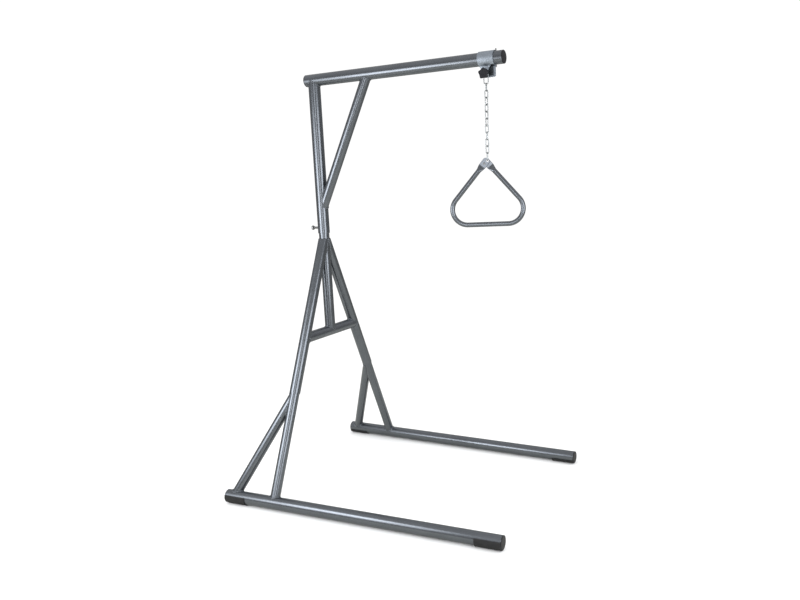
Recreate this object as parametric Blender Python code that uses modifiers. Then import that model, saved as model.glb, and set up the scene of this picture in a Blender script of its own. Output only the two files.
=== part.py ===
"""Free-standing bed trapeze.

Two floor tubes carry uprights. The legs of an A-frame slip over the uprights and hold a post.
A mast turns on the post and carries a boom. A clamp slides on the boom, and a triangular
handle hangs from it on a chain.

Frame: +X is the way the boom points, +Y is left, +Z is up. The origin is on the floor, in the
middle of the base. Sizes are in metres. Heights are measured from the centre line of the floor
tubes, and distances along the boom and the floor tubes from the axis of the post.
"""
import math

import bmesh
import bpy
from mathutils import Matrix, Vector

# Clearances
GAP = 0.0003                 # between two pieces that touch
SLIP = 0.0004                # around a tube that slides in another

# Tubes
MAIN_OD = 0.0508             # boom, mast and floor tubes
MAIN_WALL = 0.0025
LEG_WALL = 0.0020            # every other tube
BOOM_BRACE_OD = 0.0410
LEG_OD = MAIN_OD - 2 * (MAIN_WALL + SLIP)        # post, legs and crossbar: the mast slips over the post
UPRIGHT_OD = LEG_OD - 2 * (LEG_WALL + SLIP)      # uprights and floor braces: the legs slip over the uprights
MAIN_R = MAIN_OD / 2
LEG_R = LEG_OD / 2
UPRIGHT_R = UPRIGHT_OD / 2
BOOM_BRACE_R = BOOM_BRACE_OD / 2

# Base
BASE_WIDTH = 0.914           # between the floor tubes, at the uprights
FLOOR_REAR = 0.232           # floor tube behind its upright
FLOOR_FRONT = 0.981          # floor tube in front of its upright
TOE_IN = 0.030               # each floor tube turns in towards its front end, radians
BRACE_FOOT = 0.2007          # floor brace foot behind the upright
BRACE_BELOW_SLEEVE = 0.0056  # floor brace top below the end of the leg
SOCKET_DEPTH = 0.150         # upright inside the leg

# A-frame
LEGS_MEET = 1.040            # height at which the leg axes would cross
LEGS_TOP = 1.030             # height of the legs' level top
SLEEVE_END = 0.4056          # height of the legs' lower end
CROSSBAR_HEIGHT = 0.6195
POST_IN_MAST = 0.160

# Mast and boom
MAST_BOTTOM = 1.053
BOOM_HEIGHT = 1.7047
BOOM_REAR = 0.0355
BOOM_FRONT = 0.871
BOOM_BRACE_FOOT = 1.155      # height of the boom brace on the mast
BOOM_BRACE_REACH = 0.269     # its top, forward of the mast

# End plugs and floor pads
PLUG_FLANGE = 0.003
PLUG_EDGE = 0.0015           # rounding of the flange
PLUG_DEPTH = 0.022
PAD_WALL = 0.003
PAD_LENGTH = 0.100
PAD_EDGE = 0.0005            # broken edges of the pad

# Set bolt that clamps the mast on the post
SET_BOLT_HEIGHT = 1.077
SET_BOLT_R = 0.005
SET_BOLT_SHANK = 0.030
SET_BOLT_HEAD = 0.008
SET_BOLT_FLATS = 0.017

# Clamp on the boom
CLAMP_X = 0.8055
CLAMP_WIDTH = 0.064
SHEET = 0.003                # thickness of its strap
EAR_SPACE = 0.014            # between its ears
EAR_BEND = 0.0045            # bend from the band to an ear, on the sheet's middle
EAR_BOTTOM = 0.0687          # below the boom's axis
LIP_BEND = 0.0035            # bend from the left ear to its lip, on the sheet's middle
LIP_EDGE_Y = 0.0035          # the lip's free edge, left of the boom's axis
EAR_CORNER = 0.008
EAR_INSET = 0.003            # the left ear is this much narrower than the band, front and rear
EAR_TOP = 0.033              # and starts to be so this far below the boom's axis
TONGUE_TOP = 0.024           # the right ear's tongue starts this far below the boom's axis
TONGUE_NECK = 0.038
TONGUE_WIDE = 0.050          # its width at the top
TONGUE_NARROW = 0.030        # its width at the neck
TONGUE_TIP_R = 0.0125
BOLT_R = 0.004
BOLT_DROP = 0.0550           # below the boom's axis
BOLT_BACK = 0.008            # behind the middle of the band
BOLT_IN_KNOB = 0.011
BOLT_HEAD_R = 0.0095
BOLT_HEAD_RISE = 0.0045
BOLT_CHAMFER = 0.0005
BOLT_NECK_SIDE = 0.0084      # square neck under the head
WASHER_R = 0.009
WASHER_THICK = 0.0016
KNOB_R = 0.0220              # out to its corners
KNOB_THICK = 0.0085          # its five-cornered face plate
HUB_LENGTH = 0.0075          # its hub, between the washer and the plate
HUB_FOOT_R = 0.0110          # at the washer
HUB_TOP_R = 0.0165           # at the plate
KNOB_CORNER_R = 0.003
KNOB_HOLLOW = 0.0012         # how far each side is drawn in
KNOB_EDGE = 0.0015
KNOB_BORE_END = 0.002        # room in the bore past the bolt

# Stop pin through the boom, in front of the clamp
PIN_R = 0.0025
PIN_OUT = 0.009
PIN_AHEAD = 0.0035           # its axis in front of the band

# Chain
WIRE = 0.004
RING_LENGTH = 0.0403         # from the top of the bolt to the bottom wire
RING_WIDTH = 0.0214
LINK_PITCH = 0.026
LINK_WIDTH = 0.016
HANG_LEAN = 0.020            # ring and chain lean back by this angle, radians
# How far each link is turned about the chain, in degrees from square with the boom
LINK_TURNS = (10, 0, -22, -8, -30, -26, -48, -50, -40, -13, 13)

# Handle
HANDLE_OD = 0.0190
HANDLE_APEX = 0.0032         # its two legs cross this far below the wire that it hangs on
HANDLE_BAR = 0.2460          # its bottom bar below that wire
HANDLE_HALF = 0.1384         # half its width, on the tube's axis
HANDLE_CORNER = 0.0594       # corner radius, on the tube's axis
HANDLE_TURN = 0.30           # it is turned about the chain by this angle, radians
PRESSED_HALF = 0.014         # half width of the pressed ends, which is also their end radius
PRESSED_THICK = 0.003
PRESSED_FLAT = 0.022         # pressed flat this far from the apex
PRESSED_BLEND = 0.028        # then round again over this length
HANDLE_HOLE_R = 0.0048
HOLE_SIDE = 0.0060           # the hole, right of the handle's middle
RIVET_OUT = 0.0103           # from the apex along the left leg
RIVET_R = 0.0024
RIVET_HEAD_R = 0.004
RIVET_HEAD = 0.0016
RIVET_SHOULDER = 0.0014      # height of its head halfway out

# How finely round shapes are divided
TUBE_STEPS = 32
SMALL_STEPS = 20
BEND_STEPS = 3
LINK_END_STEPS = 7
HANDLE_SIDES = 16
HANDLE_BEND_STEPS = 12
ROUND_END_STEPS = 6
BLEND_STEPS = 6

FLOOR_TUBE_Z = MAIN_R + GAP + PAD_WALL
MID_BASE_X = (FLOOR_FRONT - FLOOR_REAR) / 2 * math.cos(TOE_IN)
SIDES = (("left", 1), ("right", -1))

# Colour, roughness and metallic value of each finish
FINISHES = {
    "silver_vein_paint": ((0.150, 0.160, 0.172), 0.38, 0.70),
    "zinc_sheet": ((0.520, 0.545, 0.565), 0.32, 1.00),
    "zinc_chain": ((0.600, 0.615, 0.625), 0.28, 1.00),
    "steel_bolt": ((0.300, 0.300, 0.295), 0.35, 1.00),
    "black_plastic": ((0.020, 0.020, 0.022), 0.45, 0.00),
    "black_rubber": ((0.016, 0.016, 0.017), 0.70, 0.00),
}


def clear_scene():
    for old in list(bpy.data.objects):
        bpy.data.objects.remove(old, do_unlink=True)


def make_collection(name):
    collection = bpy.data.collections.new(name)
    bpy.context.scene.collection.children.link(collection)
    return collection


def make_materials():
    materials = {}
    for name, (colour, roughness, metallic) in FINISHES.items():
        material = bpy.data.materials.new(name)
        material.use_nodes = True
        shader = material.node_tree.nodes["Principled BSDF"]
        shader.inputs["Base Color"].default_value = (*colour, 1.0)
        shader.inputs["Roughness"].default_value = roughness
        shader.inputs["Metallic"].default_value = metallic
        materials[name] = material
    return materials


clear_scene()
PARTS = make_collection("bed_trapeze")
CUTTERS = make_collection("cutters")
MATERIALS = make_materials()


# Placing objects

def add_empty(name, location=(0, 0, 0), parent=None):
    empty = bpy.data.objects.new(name, None)
    empty.empty_display_size = 0.03
    empty.location = location
    empty.parent = parent
    PARTS.objects.link(empty)
    return empty


def add_part(name, data, finish, parent, location=(0, 0, 0), turn=None):
    part = bpy.data.objects.new(name, data)
    if not data.materials:
        data.materials.append(MATERIALS[finish])
    part.location = location
    if turn is not None:
        part.rotation_mode = "QUATERNION"
        part.rotation_quaternion = turn
    part.parent = parent
    PARTS.objects.link(part)
    return part


def add_cutter(name, data, parent, location=(0, 0, 0), turn=None):
    cutter = bpy.data.objects.new(name, data)
    cutter.location = location
    if turn is not None:
        cutter.rotation_mode = "QUATERNION"
        cutter.rotation_quaternion = turn
    cutter.parent = parent
    cutter.hide_render = True
    cutter.display_type = "WIRE"
    CUTTERS.objects.link(cutter)
    return cutter


def cut(part, *cutters):
    for cutter in cutters:
        boolean = part.modifiers.new("cut " + cutter.name, "BOOLEAN")
        boolean.operation = "DIFFERENCE"
        boolean.solver = "EXACT"
        boolean.object = cutter


def join(part, other):
    boolean = part.modifiers.new("join " + other.name, "BOOLEAN")
    boolean.operation = "UNION"
    boolean.solver = "EXACT"
    boolean.object = other


def along(start, end):
    """Rotation that turns +Z from start towards end."""
    return (Vector(end) - Vector(start)).to_track_quat("Z", "Y")


def frame_turn(z_axis, y_axis):
    """Rotation that sends +Z to z_axis and +Y as near as it can to y_axis."""
    z_axis = Vector(z_axis).normalized()
    x_axis = Vector(y_axis).cross(z_axis).normalized()
    y_axis = z_axis.cross(x_axis)
    return Matrix((x_axis, y_axis, z_axis)).transposed().to_quaternion()


def about(axis, angle):
    return Matrix.Rotation(angle, 3, axis).to_quaternion()


FACING_RIGHT = frame_turn((0, -1, 0), (0, 0, 1))     # +Z to the right, +Y up
FACING_REAR = frame_turn((-1, 0, 0), (0, 0, 1))      # +Z to the rear, +Y up


# Meshes

def shade_round(mesh, angle=math.radians(40)):
    mesh.shade_smooth()
    mesh.set_sharp_from_angle(angle=angle)


def cylinder_mesh(name, radius, length, steps=TUBE_STEPS, capped=True, top_radius=None):
    mesh = bpy.data.meshes.new(name)
    shape = bmesh.new()
    bmesh.ops.create_cone(shape, cap_ends=capped, segments=steps, radius1=radius,
                          radius2=radius if top_radius is None else top_radius, depth=length)
    shape.to_mesh(mesh)
    shape.free()
    shade_round(mesh)
    return mesh


def box_mesh(name, size, centre=(0, 0, 0)):
    mesh = bpy.data.meshes.new(name)
    shape = bmesh.new()
    bmesh.ops.create_cube(shape, size=1.0)
    bmesh.ops.scale(shape, vec=size, verts=shape.verts)
    bmesh.ops.translate(shape, vec=centre, verts=shape.verts)
    shape.to_mesh(mesh)
    shape.free()
    return mesh


def line_mesh(name, points):
    """Open chain of edges, for a Screw modifier to turn or for a sheet to be pulled from."""
    mesh = bpy.data.meshes.new(name)
    edges = [(i, i + 1) for i in range(len(points) - 1)]
    mesh.from_pydata(points, edges, [])
    return mesh


def outline_mesh(name, points, thickness):
    """Flat plate: the outline lies in XY and the thickness is centred on it."""
    curve = bpy.data.curves.new(name, "CURVE")
    curve.dimensions = "2D"
    curve.fill_mode = "BOTH"
    curve.extrude = thickness / 2
    spline = curve.splines.new("POLY")
    spline.points.add(len(points) - 1)
    for point, (x, y) in zip(spline.points, points):
        point.co = (x, y, 0, 1)
    spline.use_cyclic_u = True
    holder = bpy.data.objects.new(name, curve)
    CUTTERS.objects.link(holder)
    graph = bpy.context.evaluated_depsgraph_get()
    mesh = bpy.data.meshes.new_from_object(holder.evaluated_get(graph))
    mesh.name = name
    bpy.data.objects.remove(holder)
    bpy.data.curves.remove(curve)
    shape = bmesh.new()
    shape.from_mesh(mesh)
    bmesh.ops.remove_doubles(shape, verts=shape.verts, dist=1e-6)
    bmesh.ops.recalc_face_normals(shape, faces=shape.faces)
    shape.to_mesh(mesh)
    shape.free()
    return mesh


def arc(centre, radius, start, end, steps):
    """Points on an arc from one angle to another, both ends included."""
    angles = [start + (end - start) * i / steps for i in range(steps + 1)]
    return [(centre[0] + radius * math.cos(a), centre[1] + radius * math.sin(a)) for a in angles]


def turned_part(name, profile, finish, parent, location=(0, 0, 0), turn=None, steps=SMALL_STEPS):
    """Solid of revolution about +Z. The profile (radius, height) runs from top to bottom."""
    mesh = line_mesh(name, [(radius, 0, height) for radius, height in profile])
    part = add_part(name, mesh, finish, parent, location, turn)
    screw = part.modifiers.new("turn", "SCREW")
    screw.steps = steps
    screw.render_steps = steps
    screw.use_merge_vertices = True
    screw.merge_threshold = 0.00001
    screw.use_smooth_shade = True
    return part


# Tubes

def add_tube(name, start, end, radius, wall, parent):
    start, end = Vector(start), Vector(end)
    mesh = cylinder_mesh(name, radius, (end - start).length, capped=False)
    tube = add_part(name, mesh, "silver_vein_paint", parent, (start + end) / 2, along(start, end))
    solidify = tube.modifiers.new("wall", "SOLIDIFY")
    solidify.thickness = wall
    solidify.offset = -1.0
    return tube


def rod_cutter(name, start, end, radius, parent, steps=TUBE_STEPS):
    start, end = Vector(start), Vector(end)
    mesh = cylinder_mesh(name, radius, (end - start).length, steps)
    return add_cutter(name, mesh, parent, (start + end) / 2, along(start, end))


def add_plug(name, tube_end, outwards, parent):
    """Plastic plug: its flange covers the end of a main tube and its stub goes in."""
    stub_r = MAIN_R - MAIN_WALL - GAP
    edge = arc((MAIN_R - PLUG_EDGE, PLUG_FLANGE - PLUG_EDGE), PLUG_EDGE, math.pi / 2, 0, BEND_STEPS)
    profile = [(0, PLUG_FLANGE), *edge, (MAIN_R, 0), (stub_r, 0), (stub_r, -PLUG_DEPTH), (0, -PLUG_DEPTH)]
    seat = Vector(tube_end) + Vector(outwards) * GAP
    turned_part(name, profile, "black_plastic", parent, seat, along((0, 0, 0), outwards), TUBE_STEPS)


def add_pad(name, centre, direction, outwards, parent):
    """Half shell under a floor tube; outwards is the direction in which its middle points."""
    radius = MAIN_R + GAP + PAD_WALL
    mesh = line_mesh(name, [(radius, 0, PAD_LENGTH / 2), (radius, 0, -PAD_LENGTH / 2)])
    pad = add_part(name, mesh, "black_rubber", parent, centre, frame_turn(direction, outwards))
    screw = pad.modifiers.new("half turn", "SCREW")
    screw.angle = math.pi
    screw.steps = TUBE_STEPS // 2
    screw.render_steps = TUBE_STEPS // 2
    screw.merge_threshold = 0.00001
    screw.use_smooth_shade = True
    solidify = pad.modifiers.new("wall", "SOLIDIFY")
    solidify.thickness = PAD_WALL
    solidify.offset = -1.0
    bevel = pad.modifiers.new("broken edges", "BEVEL")
    bevel.width = PAD_EDGE
    bevel.segments = 1
    bevel.limit_method = "ANGLE"
    bevel.angle_limit = math.radians(50)


# The fixed frame

def add_base_side(side, sign, root):
    """One floor tube with its upright, brace, plugs and pads, and the leg that slips over it."""
    foot = Vector((0, sign * BASE_WIDTH / 2, 0))
    apex = Vector((0, 0, LEGS_MEET))
    lean = (apex - foot).normalized()
    forward = Vector((math.cos(TOE_IN), -sign * math.sin(TOE_IN), 0))
    rear_end = foot - forward * FLOOR_REAR
    front_end = foot + forward * FLOOR_FRONT
    add_tube("floor_tube_" + side, rear_end, front_end, MAIN_R, MAIN_WALL, root)
    add_plug("floor_plug_rear_" + side, rear_end, -forward, root)
    add_plug("floor_plug_front_" + side, front_end, forward, root)
    add_pad("floor_pad_rear_" + side, rear_end + forward * PAD_LENGTH / 2, forward, -lean, root)
    add_pad("floor_pad_front_" + side, front_end - forward * PAD_LENGTH / 2, forward, -lean, root)

    sleeve_end = foot + lean * (SLEEVE_END / lean.z)
    upright_top = sleeve_end + lean * SOCKET_DEPTH
    upright = add_tube("floor_upright_" + side, foot, upright_top, UPRIGHT_R, LEG_WALL, root)
    brace_top = sleeve_end - lean * BRACE_BELOW_SLEEVE
    brace_foot = foot - forward * BRACE_FOOT
    brace = add_tube("floor_brace_" + side, brace_foot, brace_top, UPRIGHT_R, LEG_WALL, root)
    leg = add_tube("leg_" + side, sleeve_end, apex, LEG_R, LEG_WALL, root)

    floor_cope = rod_cutter("floor_cope_" + side, rear_end, front_end, MAIN_R + GAP, root)
    upright_cope = rod_cutter("upright_cope_" + side, foot, upright_top, UPRIGHT_R + GAP, root)
    cut(upright, floor_cope)
    cut(brace, floor_cope, upright_cope)
    leg_cope = rod_cutter("leg_cope_" + side, sleeve_end, apex, LEG_R + GAP, root)
    return leg, leg_cope


def add_base(root):
    legs, leg_copes = [], []
    for side, sign in SIDES:
        leg, leg_cope = add_base_side(side, sign, root)
        legs.append(leg)
        leg_copes.append(leg_cope)

    crossbar_half = BASE_WIDTH / 2 * (1 - CROSSBAR_HEIGHT / LEGS_MEET)
    left_end = Vector((0, crossbar_half, CROSSBAR_HEIGHT))
    right_end = Vector((0, -crossbar_half, CROSSBAR_HEIGHT))
    crossbar = add_tube("crossbar", right_end, left_end, LEG_R, LEG_WALL, root)
    cut(crossbar, *leg_copes)

    post_foot = Vector((0, 0, CROSSBAR_HEIGHT))
    post_top = Vector((0, 0, MAST_BOTTOM + POST_IN_MAST))
    post = add_tube("post", post_foot, post_top, LEG_R, LEG_WALL, root)
    cut(post, rod_cutter("crossbar_cope", right_end, left_end, LEG_R + GAP, root))

    post_cope = rod_cutter("post_cope", post_foot, post_top, LEG_R + GAP, root)
    above_legs = box_mesh("leg_trim", (4 * MAIN_OD, 4 * MAIN_OD, 2 * MAIN_OD), (0, 0, MAIN_OD))
    trim = add_cutter("leg_trim", above_legs, root, (0, 0, LEGS_TOP))
    for leg in legs:
        cut(leg, post_cope, trim)


# The mast, which turns on the post

def add_set_bolt(swivel):
    """Hexagon bolt in the back of the mast; its tip bears on the post."""
    tip = Vector((-LEG_R - GAP, 0, SET_BOLT_HEIGHT))
    shank = cylinder_mesh("set_bolt", SET_BOLT_R, SET_BOLT_SHANK + SET_BOLT_HEAD / 2, SMALL_STEPS)
    middle = tip - Vector(((SET_BOLT_SHANK + SET_BOLT_HEAD / 2) / 2, 0, 0))
    bolt = add_part("set_bolt", shank, "steel_bolt", swivel, middle, FACING_REAR)
    corner_r = SET_BOLT_FLATS / 2 / math.cos(math.pi / 6)
    head_mesh = cylinder_mesh("set_bolt_head", corner_r, SET_BOLT_HEAD, 6)
    head_middle = tip - Vector((SET_BOLT_SHANK + SET_BOLT_HEAD / 2, 0, 0))
    join(bolt, add_cutter("set_bolt_head", head_mesh, swivel, head_middle, FACING_REAR))
    past_wall = tip - Vector((MAIN_OD, 0, 0))
    return rod_cutter("set_bolt_hole", tip, past_wall, SET_BOLT_R + GAP, swivel, SMALL_STEPS)


def add_mast(swivel):
    boom_rear = Vector((-BOOM_REAR, 0, BOOM_HEIGHT))
    boom_front = Vector((BOOM_FRONT, 0, BOOM_HEIGHT))
    boom = add_tube("boom", boom_rear, boom_front, MAIN_R, MAIN_WALL, swivel)
    add_plug("boom_plug_rear", boom_rear, (-1, 0, 0), swivel)
    add_plug("boom_plug_front", boom_front, (1, 0, 0), swivel)
    boom_cope = rod_cutter("boom_cope", boom_rear, boom_front, MAIN_R + GAP, swivel)

    mast_foot = Vector((0, 0, MAST_BOTTOM))
    mast_top = Vector((0, 0, BOOM_HEIGHT))
    mast = add_tube("mast", mast_foot, mast_top, MAIN_R, MAIN_WALL, swivel)
    mast_cope = rod_cutter("mast_cope", mast_foot, mast_top, MAIN_R + GAP, swivel)
    cut(mast, boom_cope, add_set_bolt(swivel))

    brace_foot = Vector((0, 0, BOOM_BRACE_FOOT))
    brace_top = Vector((BOOM_BRACE_REACH, 0, BOOM_HEIGHT))
    brace = add_tube("boom_brace", brace_foot, brace_top, BOOM_BRACE_R, LEG_WALL, swivel)
    cut(brace, mast_cope, boom_cope)

    pin_half = MAIN_R + PIN_OUT
    pin_middle = Vector((CLAMP_X + CLAMP_WIDTH / 2 + PIN_AHEAD, 0, BOOM_HEIGHT))
    pin_mesh = cylinder_mesh("stop_pin", PIN_R, 2 * pin_half, SMALL_STEPS)
    add_part("stop_pin", pin_mesh, "steel_bolt", swivel, pin_middle)
    reach = Vector((0, 0, pin_half))
    pin_hole = rod_cutter("pin_hole", pin_middle - reach, pin_middle + reach, PIN_R + GAP, swivel,
                          SMALL_STEPS)
    cut(boom, pin_hole)


# The clamp, which slides on the boom

def strap_section():
    """Middle line of the strap across the boom, (y, z) from the boom's axis, right ear to left lip."""
    band_r = MAIN_R + GAP + SHEET / 2
    ear_y = (EAR_SPACE + SHEET) / 2
    bend_y = ear_y + EAR_BEND
    bend_z = -math.sqrt((band_r + EAR_BEND) ** 2 - bend_y ** 2)
    meet = math.atan2(-bend_z, bend_y)          # band and bend meet this far below the level of the axis
    lip_z = -EAR_BOTTOM + SHEET / 2
    band_steps = round(TUBE_STEPS * (math.pi + 2 * meet) / (2 * math.pi))
    points = [(-ear_y, -EAR_BOTTOM)]
    points += arc((-bend_y, bend_z), EAR_BEND, 0, meet, BEND_STEPS)
    points += arc((0, 0), band_r, math.pi + meet, -meet, band_steps)[1:-1]
    points += arc((bend_y, bend_z), EAR_BEND, math.pi - meet, math.pi, BEND_STEPS)
    points += arc((ear_y - LIP_BEND, lip_z + LIP_BEND), LIP_BEND, 0, -math.pi / 2, BEND_STEPS)
    points.append((LIP_EDGE_Y, lip_z))
    return points


def add_strap(slide, bolt_place):
    """Zinc strap: a band over the boom, a tongue as its right ear and a lipped plate as its left."""
    half = CLAMP_WIDTH / 2
    section = strap_section()
    mesh = bpy.data.meshes.new("clamp_strap")
    shape = bmesh.new()
    rim = [shape.verts.new((-half, y, z)) for y, z in section]
    edges = [shape.edges.new(pair) for pair in zip(rim[:-1], rim[1:])]
    pulled = bmesh.ops.extrude_edge_only(shape, edges=edges)["geom"]
    pulled_verts = [item for item in pulled if isinstance(item, bmesh.types.BMVert)]
    bmesh.ops.translate(shape, vec=(CLAMP_WIDTH, 0, 0), verts=pulled_verts)
    bmesh.ops.recalc_face_normals(shape, faces=shape.faces)
    shape.to_mesh(mesh)
    shape.free()
    strap = add_part("clamp_strap", mesh, "zinc_sheet", slide)
    solidify = strap.modifiers.new("sheet", "SOLIDIFY")
    solidify.thickness = SHEET
    solidify.offset = 0.0
    solidify.use_even_offset = True

    # What is cut away beside and below the tongue
    past = CLAMP_WIDTH
    deep = EAR_BOTTOM + CLAMP_WIDTH
    tongue = [(-BOLT_BACK - TONGUE_WIDE / 2, -TONGUE_TOP), (-BOLT_BACK - TONGUE_NARROW / 2, -TONGUE_NECK)]
    tongue += arc((-BOLT_BACK, -BOLT_DROP), TONGUE_TIP_R, math.pi, 2 * math.pi, 3 * BEND_STEPS)
    tongue += [(-BOLT_BACK + TONGUE_NARROW / 2, -TONGUE_NECK), (-BOLT_BACK + TONGUE_WIDE / 2, -TONGUE_TOP)]
    waste = [(-past, -TONGUE_TOP), *tongue, (past, -TONGUE_TOP), (past, -deep), (-past, -deep)]
    right_y = -EAR_SPACE / 2 - SHEET
    tongue_waste = add_cutter("tongue_waste", outline_mesh("tongue_waste", waste, EAR_SPACE), slide,
                              (0, right_y, 0), FACING_RIGHT)

    # What is cut away beside the left ear and at the lower corners of the ear and its lip
    corners = []
    for name, sign in (("front", 1), ("rear", -1)):
        edge_x = half - EAR_INSET
        centre = (sign * (edge_x - EAR_CORNER), -EAR_BOTTOM + EAR_CORNER)
        end = 0 if sign > 0 else -math.pi
        corner = [(sign * past, -EAR_TOP), (sign * edge_x, -EAR_TOP)]
        corner += arc(centre, EAR_CORNER, end, -math.pi / 2, 2 * BEND_STEPS)
        corner += [(centre[0], -deep), (sign * past, -deep)]
        waste_mesh = outline_mesh("corner_waste_" + name, corner, EAR_SPACE)
        corners.append(add_cutter("corner_waste_" + name, waste_mesh, slide,
                                  (0, EAR_SPACE / 2 + LIP_EDGE_Y / 2, 0), FACING_RIGHT))

    round_hole = rod_cutter("bolt_hole_right", bolt_place, bolt_place + Vector((0, -EAR_SPACE, 0)),
                            BOLT_R + GAP, slide, SMALL_STEPS)
    side = BOLT_NECK_SIDE + 2 * GAP
    square = box_mesh("bolt_hole_left", (side, EAR_SPACE, side), (0, EAR_SPACE / 2, 0))
    square_hole = add_cutter("bolt_hole_left", square, slide, bolt_place)
    cut(strap, tongue_waste, *corners, round_hole, square_hole)


def add_carriage_bolt(slide, bolt_place):
    """Round-headed bolt through both ears, with its head on the left and a square neck under it."""
    ear_out = EAR_SPACE / 2 + SHEET
    shank_end = ear_out + GAP + WASHER_THICK + GAP + BOLT_IN_KNOB
    under_head = -ear_out - GAP
    sphere_r = (BOLT_HEAD_R ** 2 + BOLT_HEAD_RISE ** 2) / (2 * BOLT_HEAD_RISE)
    half_angle = math.asin(BOLT_HEAD_R / sphere_r)
    dome_centre = (0, under_head - BOLT_HEAD_RISE + sphere_r)
    dome = arc(dome_centre, sphere_r, half_angle - math.pi / 2, -math.pi / 2, BEND_STEPS)
    profile = [(0, shank_end), (BOLT_R - BOLT_CHAMFER, shank_end), (BOLT_R, shank_end - BOLT_CHAMFER),
               (BOLT_R, under_head)]
    profile += dome[:-1] + [(0, dome[-1][1])]
    bolt = turned_part("carriage_bolt", profile, "steel_bolt", slide, bolt_place, FACING_RIGHT)
    neck_length = SHEET + 2 * GAP
    neck_middle = (0, 0, under_head + neck_length / 2)
    neck = box_mesh("bolt_neck", (BOLT_NECK_SIDE, BOLT_NECK_SIDE, neck_length), neck_middle)
    join(bolt, add_cutter("bolt_neck", neck, slide, bolt_place, FACING_RIGHT))


def knob_outline():
    """Five rounded corners, the first one up, with sides drawn in a little between them."""
    points = []
    turn = 2 * math.pi / 5
    for corner in range(5):
        middle = math.pi / 2 + corner * turn
        reach = KNOB_R - KNOB_CORNER_R
        centre = (reach * math.cos(middle), reach * math.sin(middle))
        points += arc(centre, KNOB_CORNER_R, middle - turn / 2, middle + turn / 2, BEND_STEPS)
        hollow_r = reach * math.cos(turn / 2) + KNOB_CORNER_R - KNOB_HOLLOW
        across = middle + turn / 2
        points.append((hollow_r * math.cos(across), hollow_r * math.sin(across)))
    return points


def add_knob(slide, bolt_place):
    """Washer on the right ear and the plastic knob that screws on the bolt.

    The knob is a five-cornered plate on a hub that widens towards it.
    """
    washer_in = -EAR_SPACE / 2 - SHEET - GAP
    washer_middle = bolt_place + Vector((0, washer_in - WASHER_THICK / 2, 0))
    washer = add_part("washer", cylinder_mesh("washer", WASHER_R, WASHER_THICK, SMALL_STEPS), "zinc_sheet",
                      slide, washer_middle, FACING_RIGHT)
    washer_hole = rod_cutter("washer_hole", washer_middle + Vector((0, WASHER_THICK, 0)),
                             washer_middle - Vector((0, WASHER_THICK, 0)), BOLT_R + GAP, slide, SMALL_STEPS)
    cut(washer, washer_hole)

    seat = WASHER_THICK / 2 + GAP
    plate_middle = seat + HUB_LENGTH + KNOB_THICK / 2
    knob = add_part("knob", outline_mesh("knob", knob_outline(), KNOB_THICK), "black_plastic",
                    washer, (0, 0, plate_middle))
    bevel = knob.modifiers.new("soft edges", "BEVEL")
    bevel.width = KNOB_EDGE
    bevel.segments = 2
    bevel.limit_method = "ANGLE"
    bevel.angle_limit = math.radians(60)
    hub = cylinder_mesh("knob_hub", HUB_FOOT_R, HUB_LENGTH + KNOB_THICK / 2, TUBE_STEPS, top_radius=HUB_TOP_R)
    join(knob, add_cutter("knob_hub", hub, washer, (0, 0, seat + (HUB_LENGTH + KNOB_THICK / 2) / 2)))
    bore_depth = BOLT_IN_KNOB + KNOB_BORE_END
    bore = cylinder_mesh("knob_bore", BOLT_R + GAP, 2 * bore_depth, SMALL_STEPS)
    cut(knob, add_cutter("knob_bore", bore, washer, (0, 0, seat)))


# The chain

def link_curve(name, end_r, top, bottom):
    """Closed wire link in the XZ plane; top and bottom are the heights of its end wires."""
    half_turn = [math.pi * i / LINK_END_STEPS for i in range(LINK_END_STEPS + 1)]
    upper = [(end_r * math.cos(a), top - end_r + end_r * math.sin(a)) for a in half_turn]
    lower = [(-end_r * math.cos(a), bottom + end_r - end_r * math.sin(a)) for a in half_turn]
    points = upper + lower
    curve = bpy.data.curves.new(name, "CURVE")
    curve.dimensions = "3D"
    curve.bevel_depth = WIRE / 2
    curve.bevel_resolution = 2
    spline = curve.splines.new("POLY")
    spline.points.add(len(points) - 1)
    for point, (x, z) in zip(spline.points, points):
        point.co = (x, 0, z, 1)
    spline.use_cyclic_u = True
    return curve


def add_chain(slide, bolt_place):
    """Long top ring on the bolt, then links that hang in turn crosswise. Returns the last link."""
    ring_top = BOLT_R + GAP + WIRE / 2
    ring_bottom = BOLT_R - RING_LENGTH - WIRE / 2
    ring_curve = link_curve("top_ring", (RING_WIDTH - WIRE) / 2, ring_top, ring_bottom)
    above = add_part("top_ring", ring_curve, "zinc_chain", slide, bolt_place, about("Y", HANG_LEAN))
    drop = ring_bottom
    shared = link_curve("chain_link", (LINK_WIDTH - WIRE) / 2, WIRE + GAP, -LINK_PITCH)
    turn_above = 0
    for number, turn in enumerate(LINK_TURNS, start=1):
        crosswise = about("Z", math.radians(90 + turn - turn_above))
        above = add_part(f"chain_link_{number:02d}", shared, "zinc_chain", above, (0, 0, drop), crosswise)
        drop = -LINK_PITCH
        turn_above = turn
    return above


# The handle

def handle_leg():
    """Slope of the legs below the level and their straight length, from the apex to the corner."""
    across = HANDLE_HALF - HANDLE_CORNER
    down = HANDLE_BAR - HANDLE_CORNER - HANDLE_APEX
    reach = math.hypot(across, down)
    slope = math.atan2(down, across) - math.asin(HANDLE_CORNER / reach)
    return slope, math.sqrt(reach ** 2 - HANDLE_CORNER ** 2)


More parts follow.
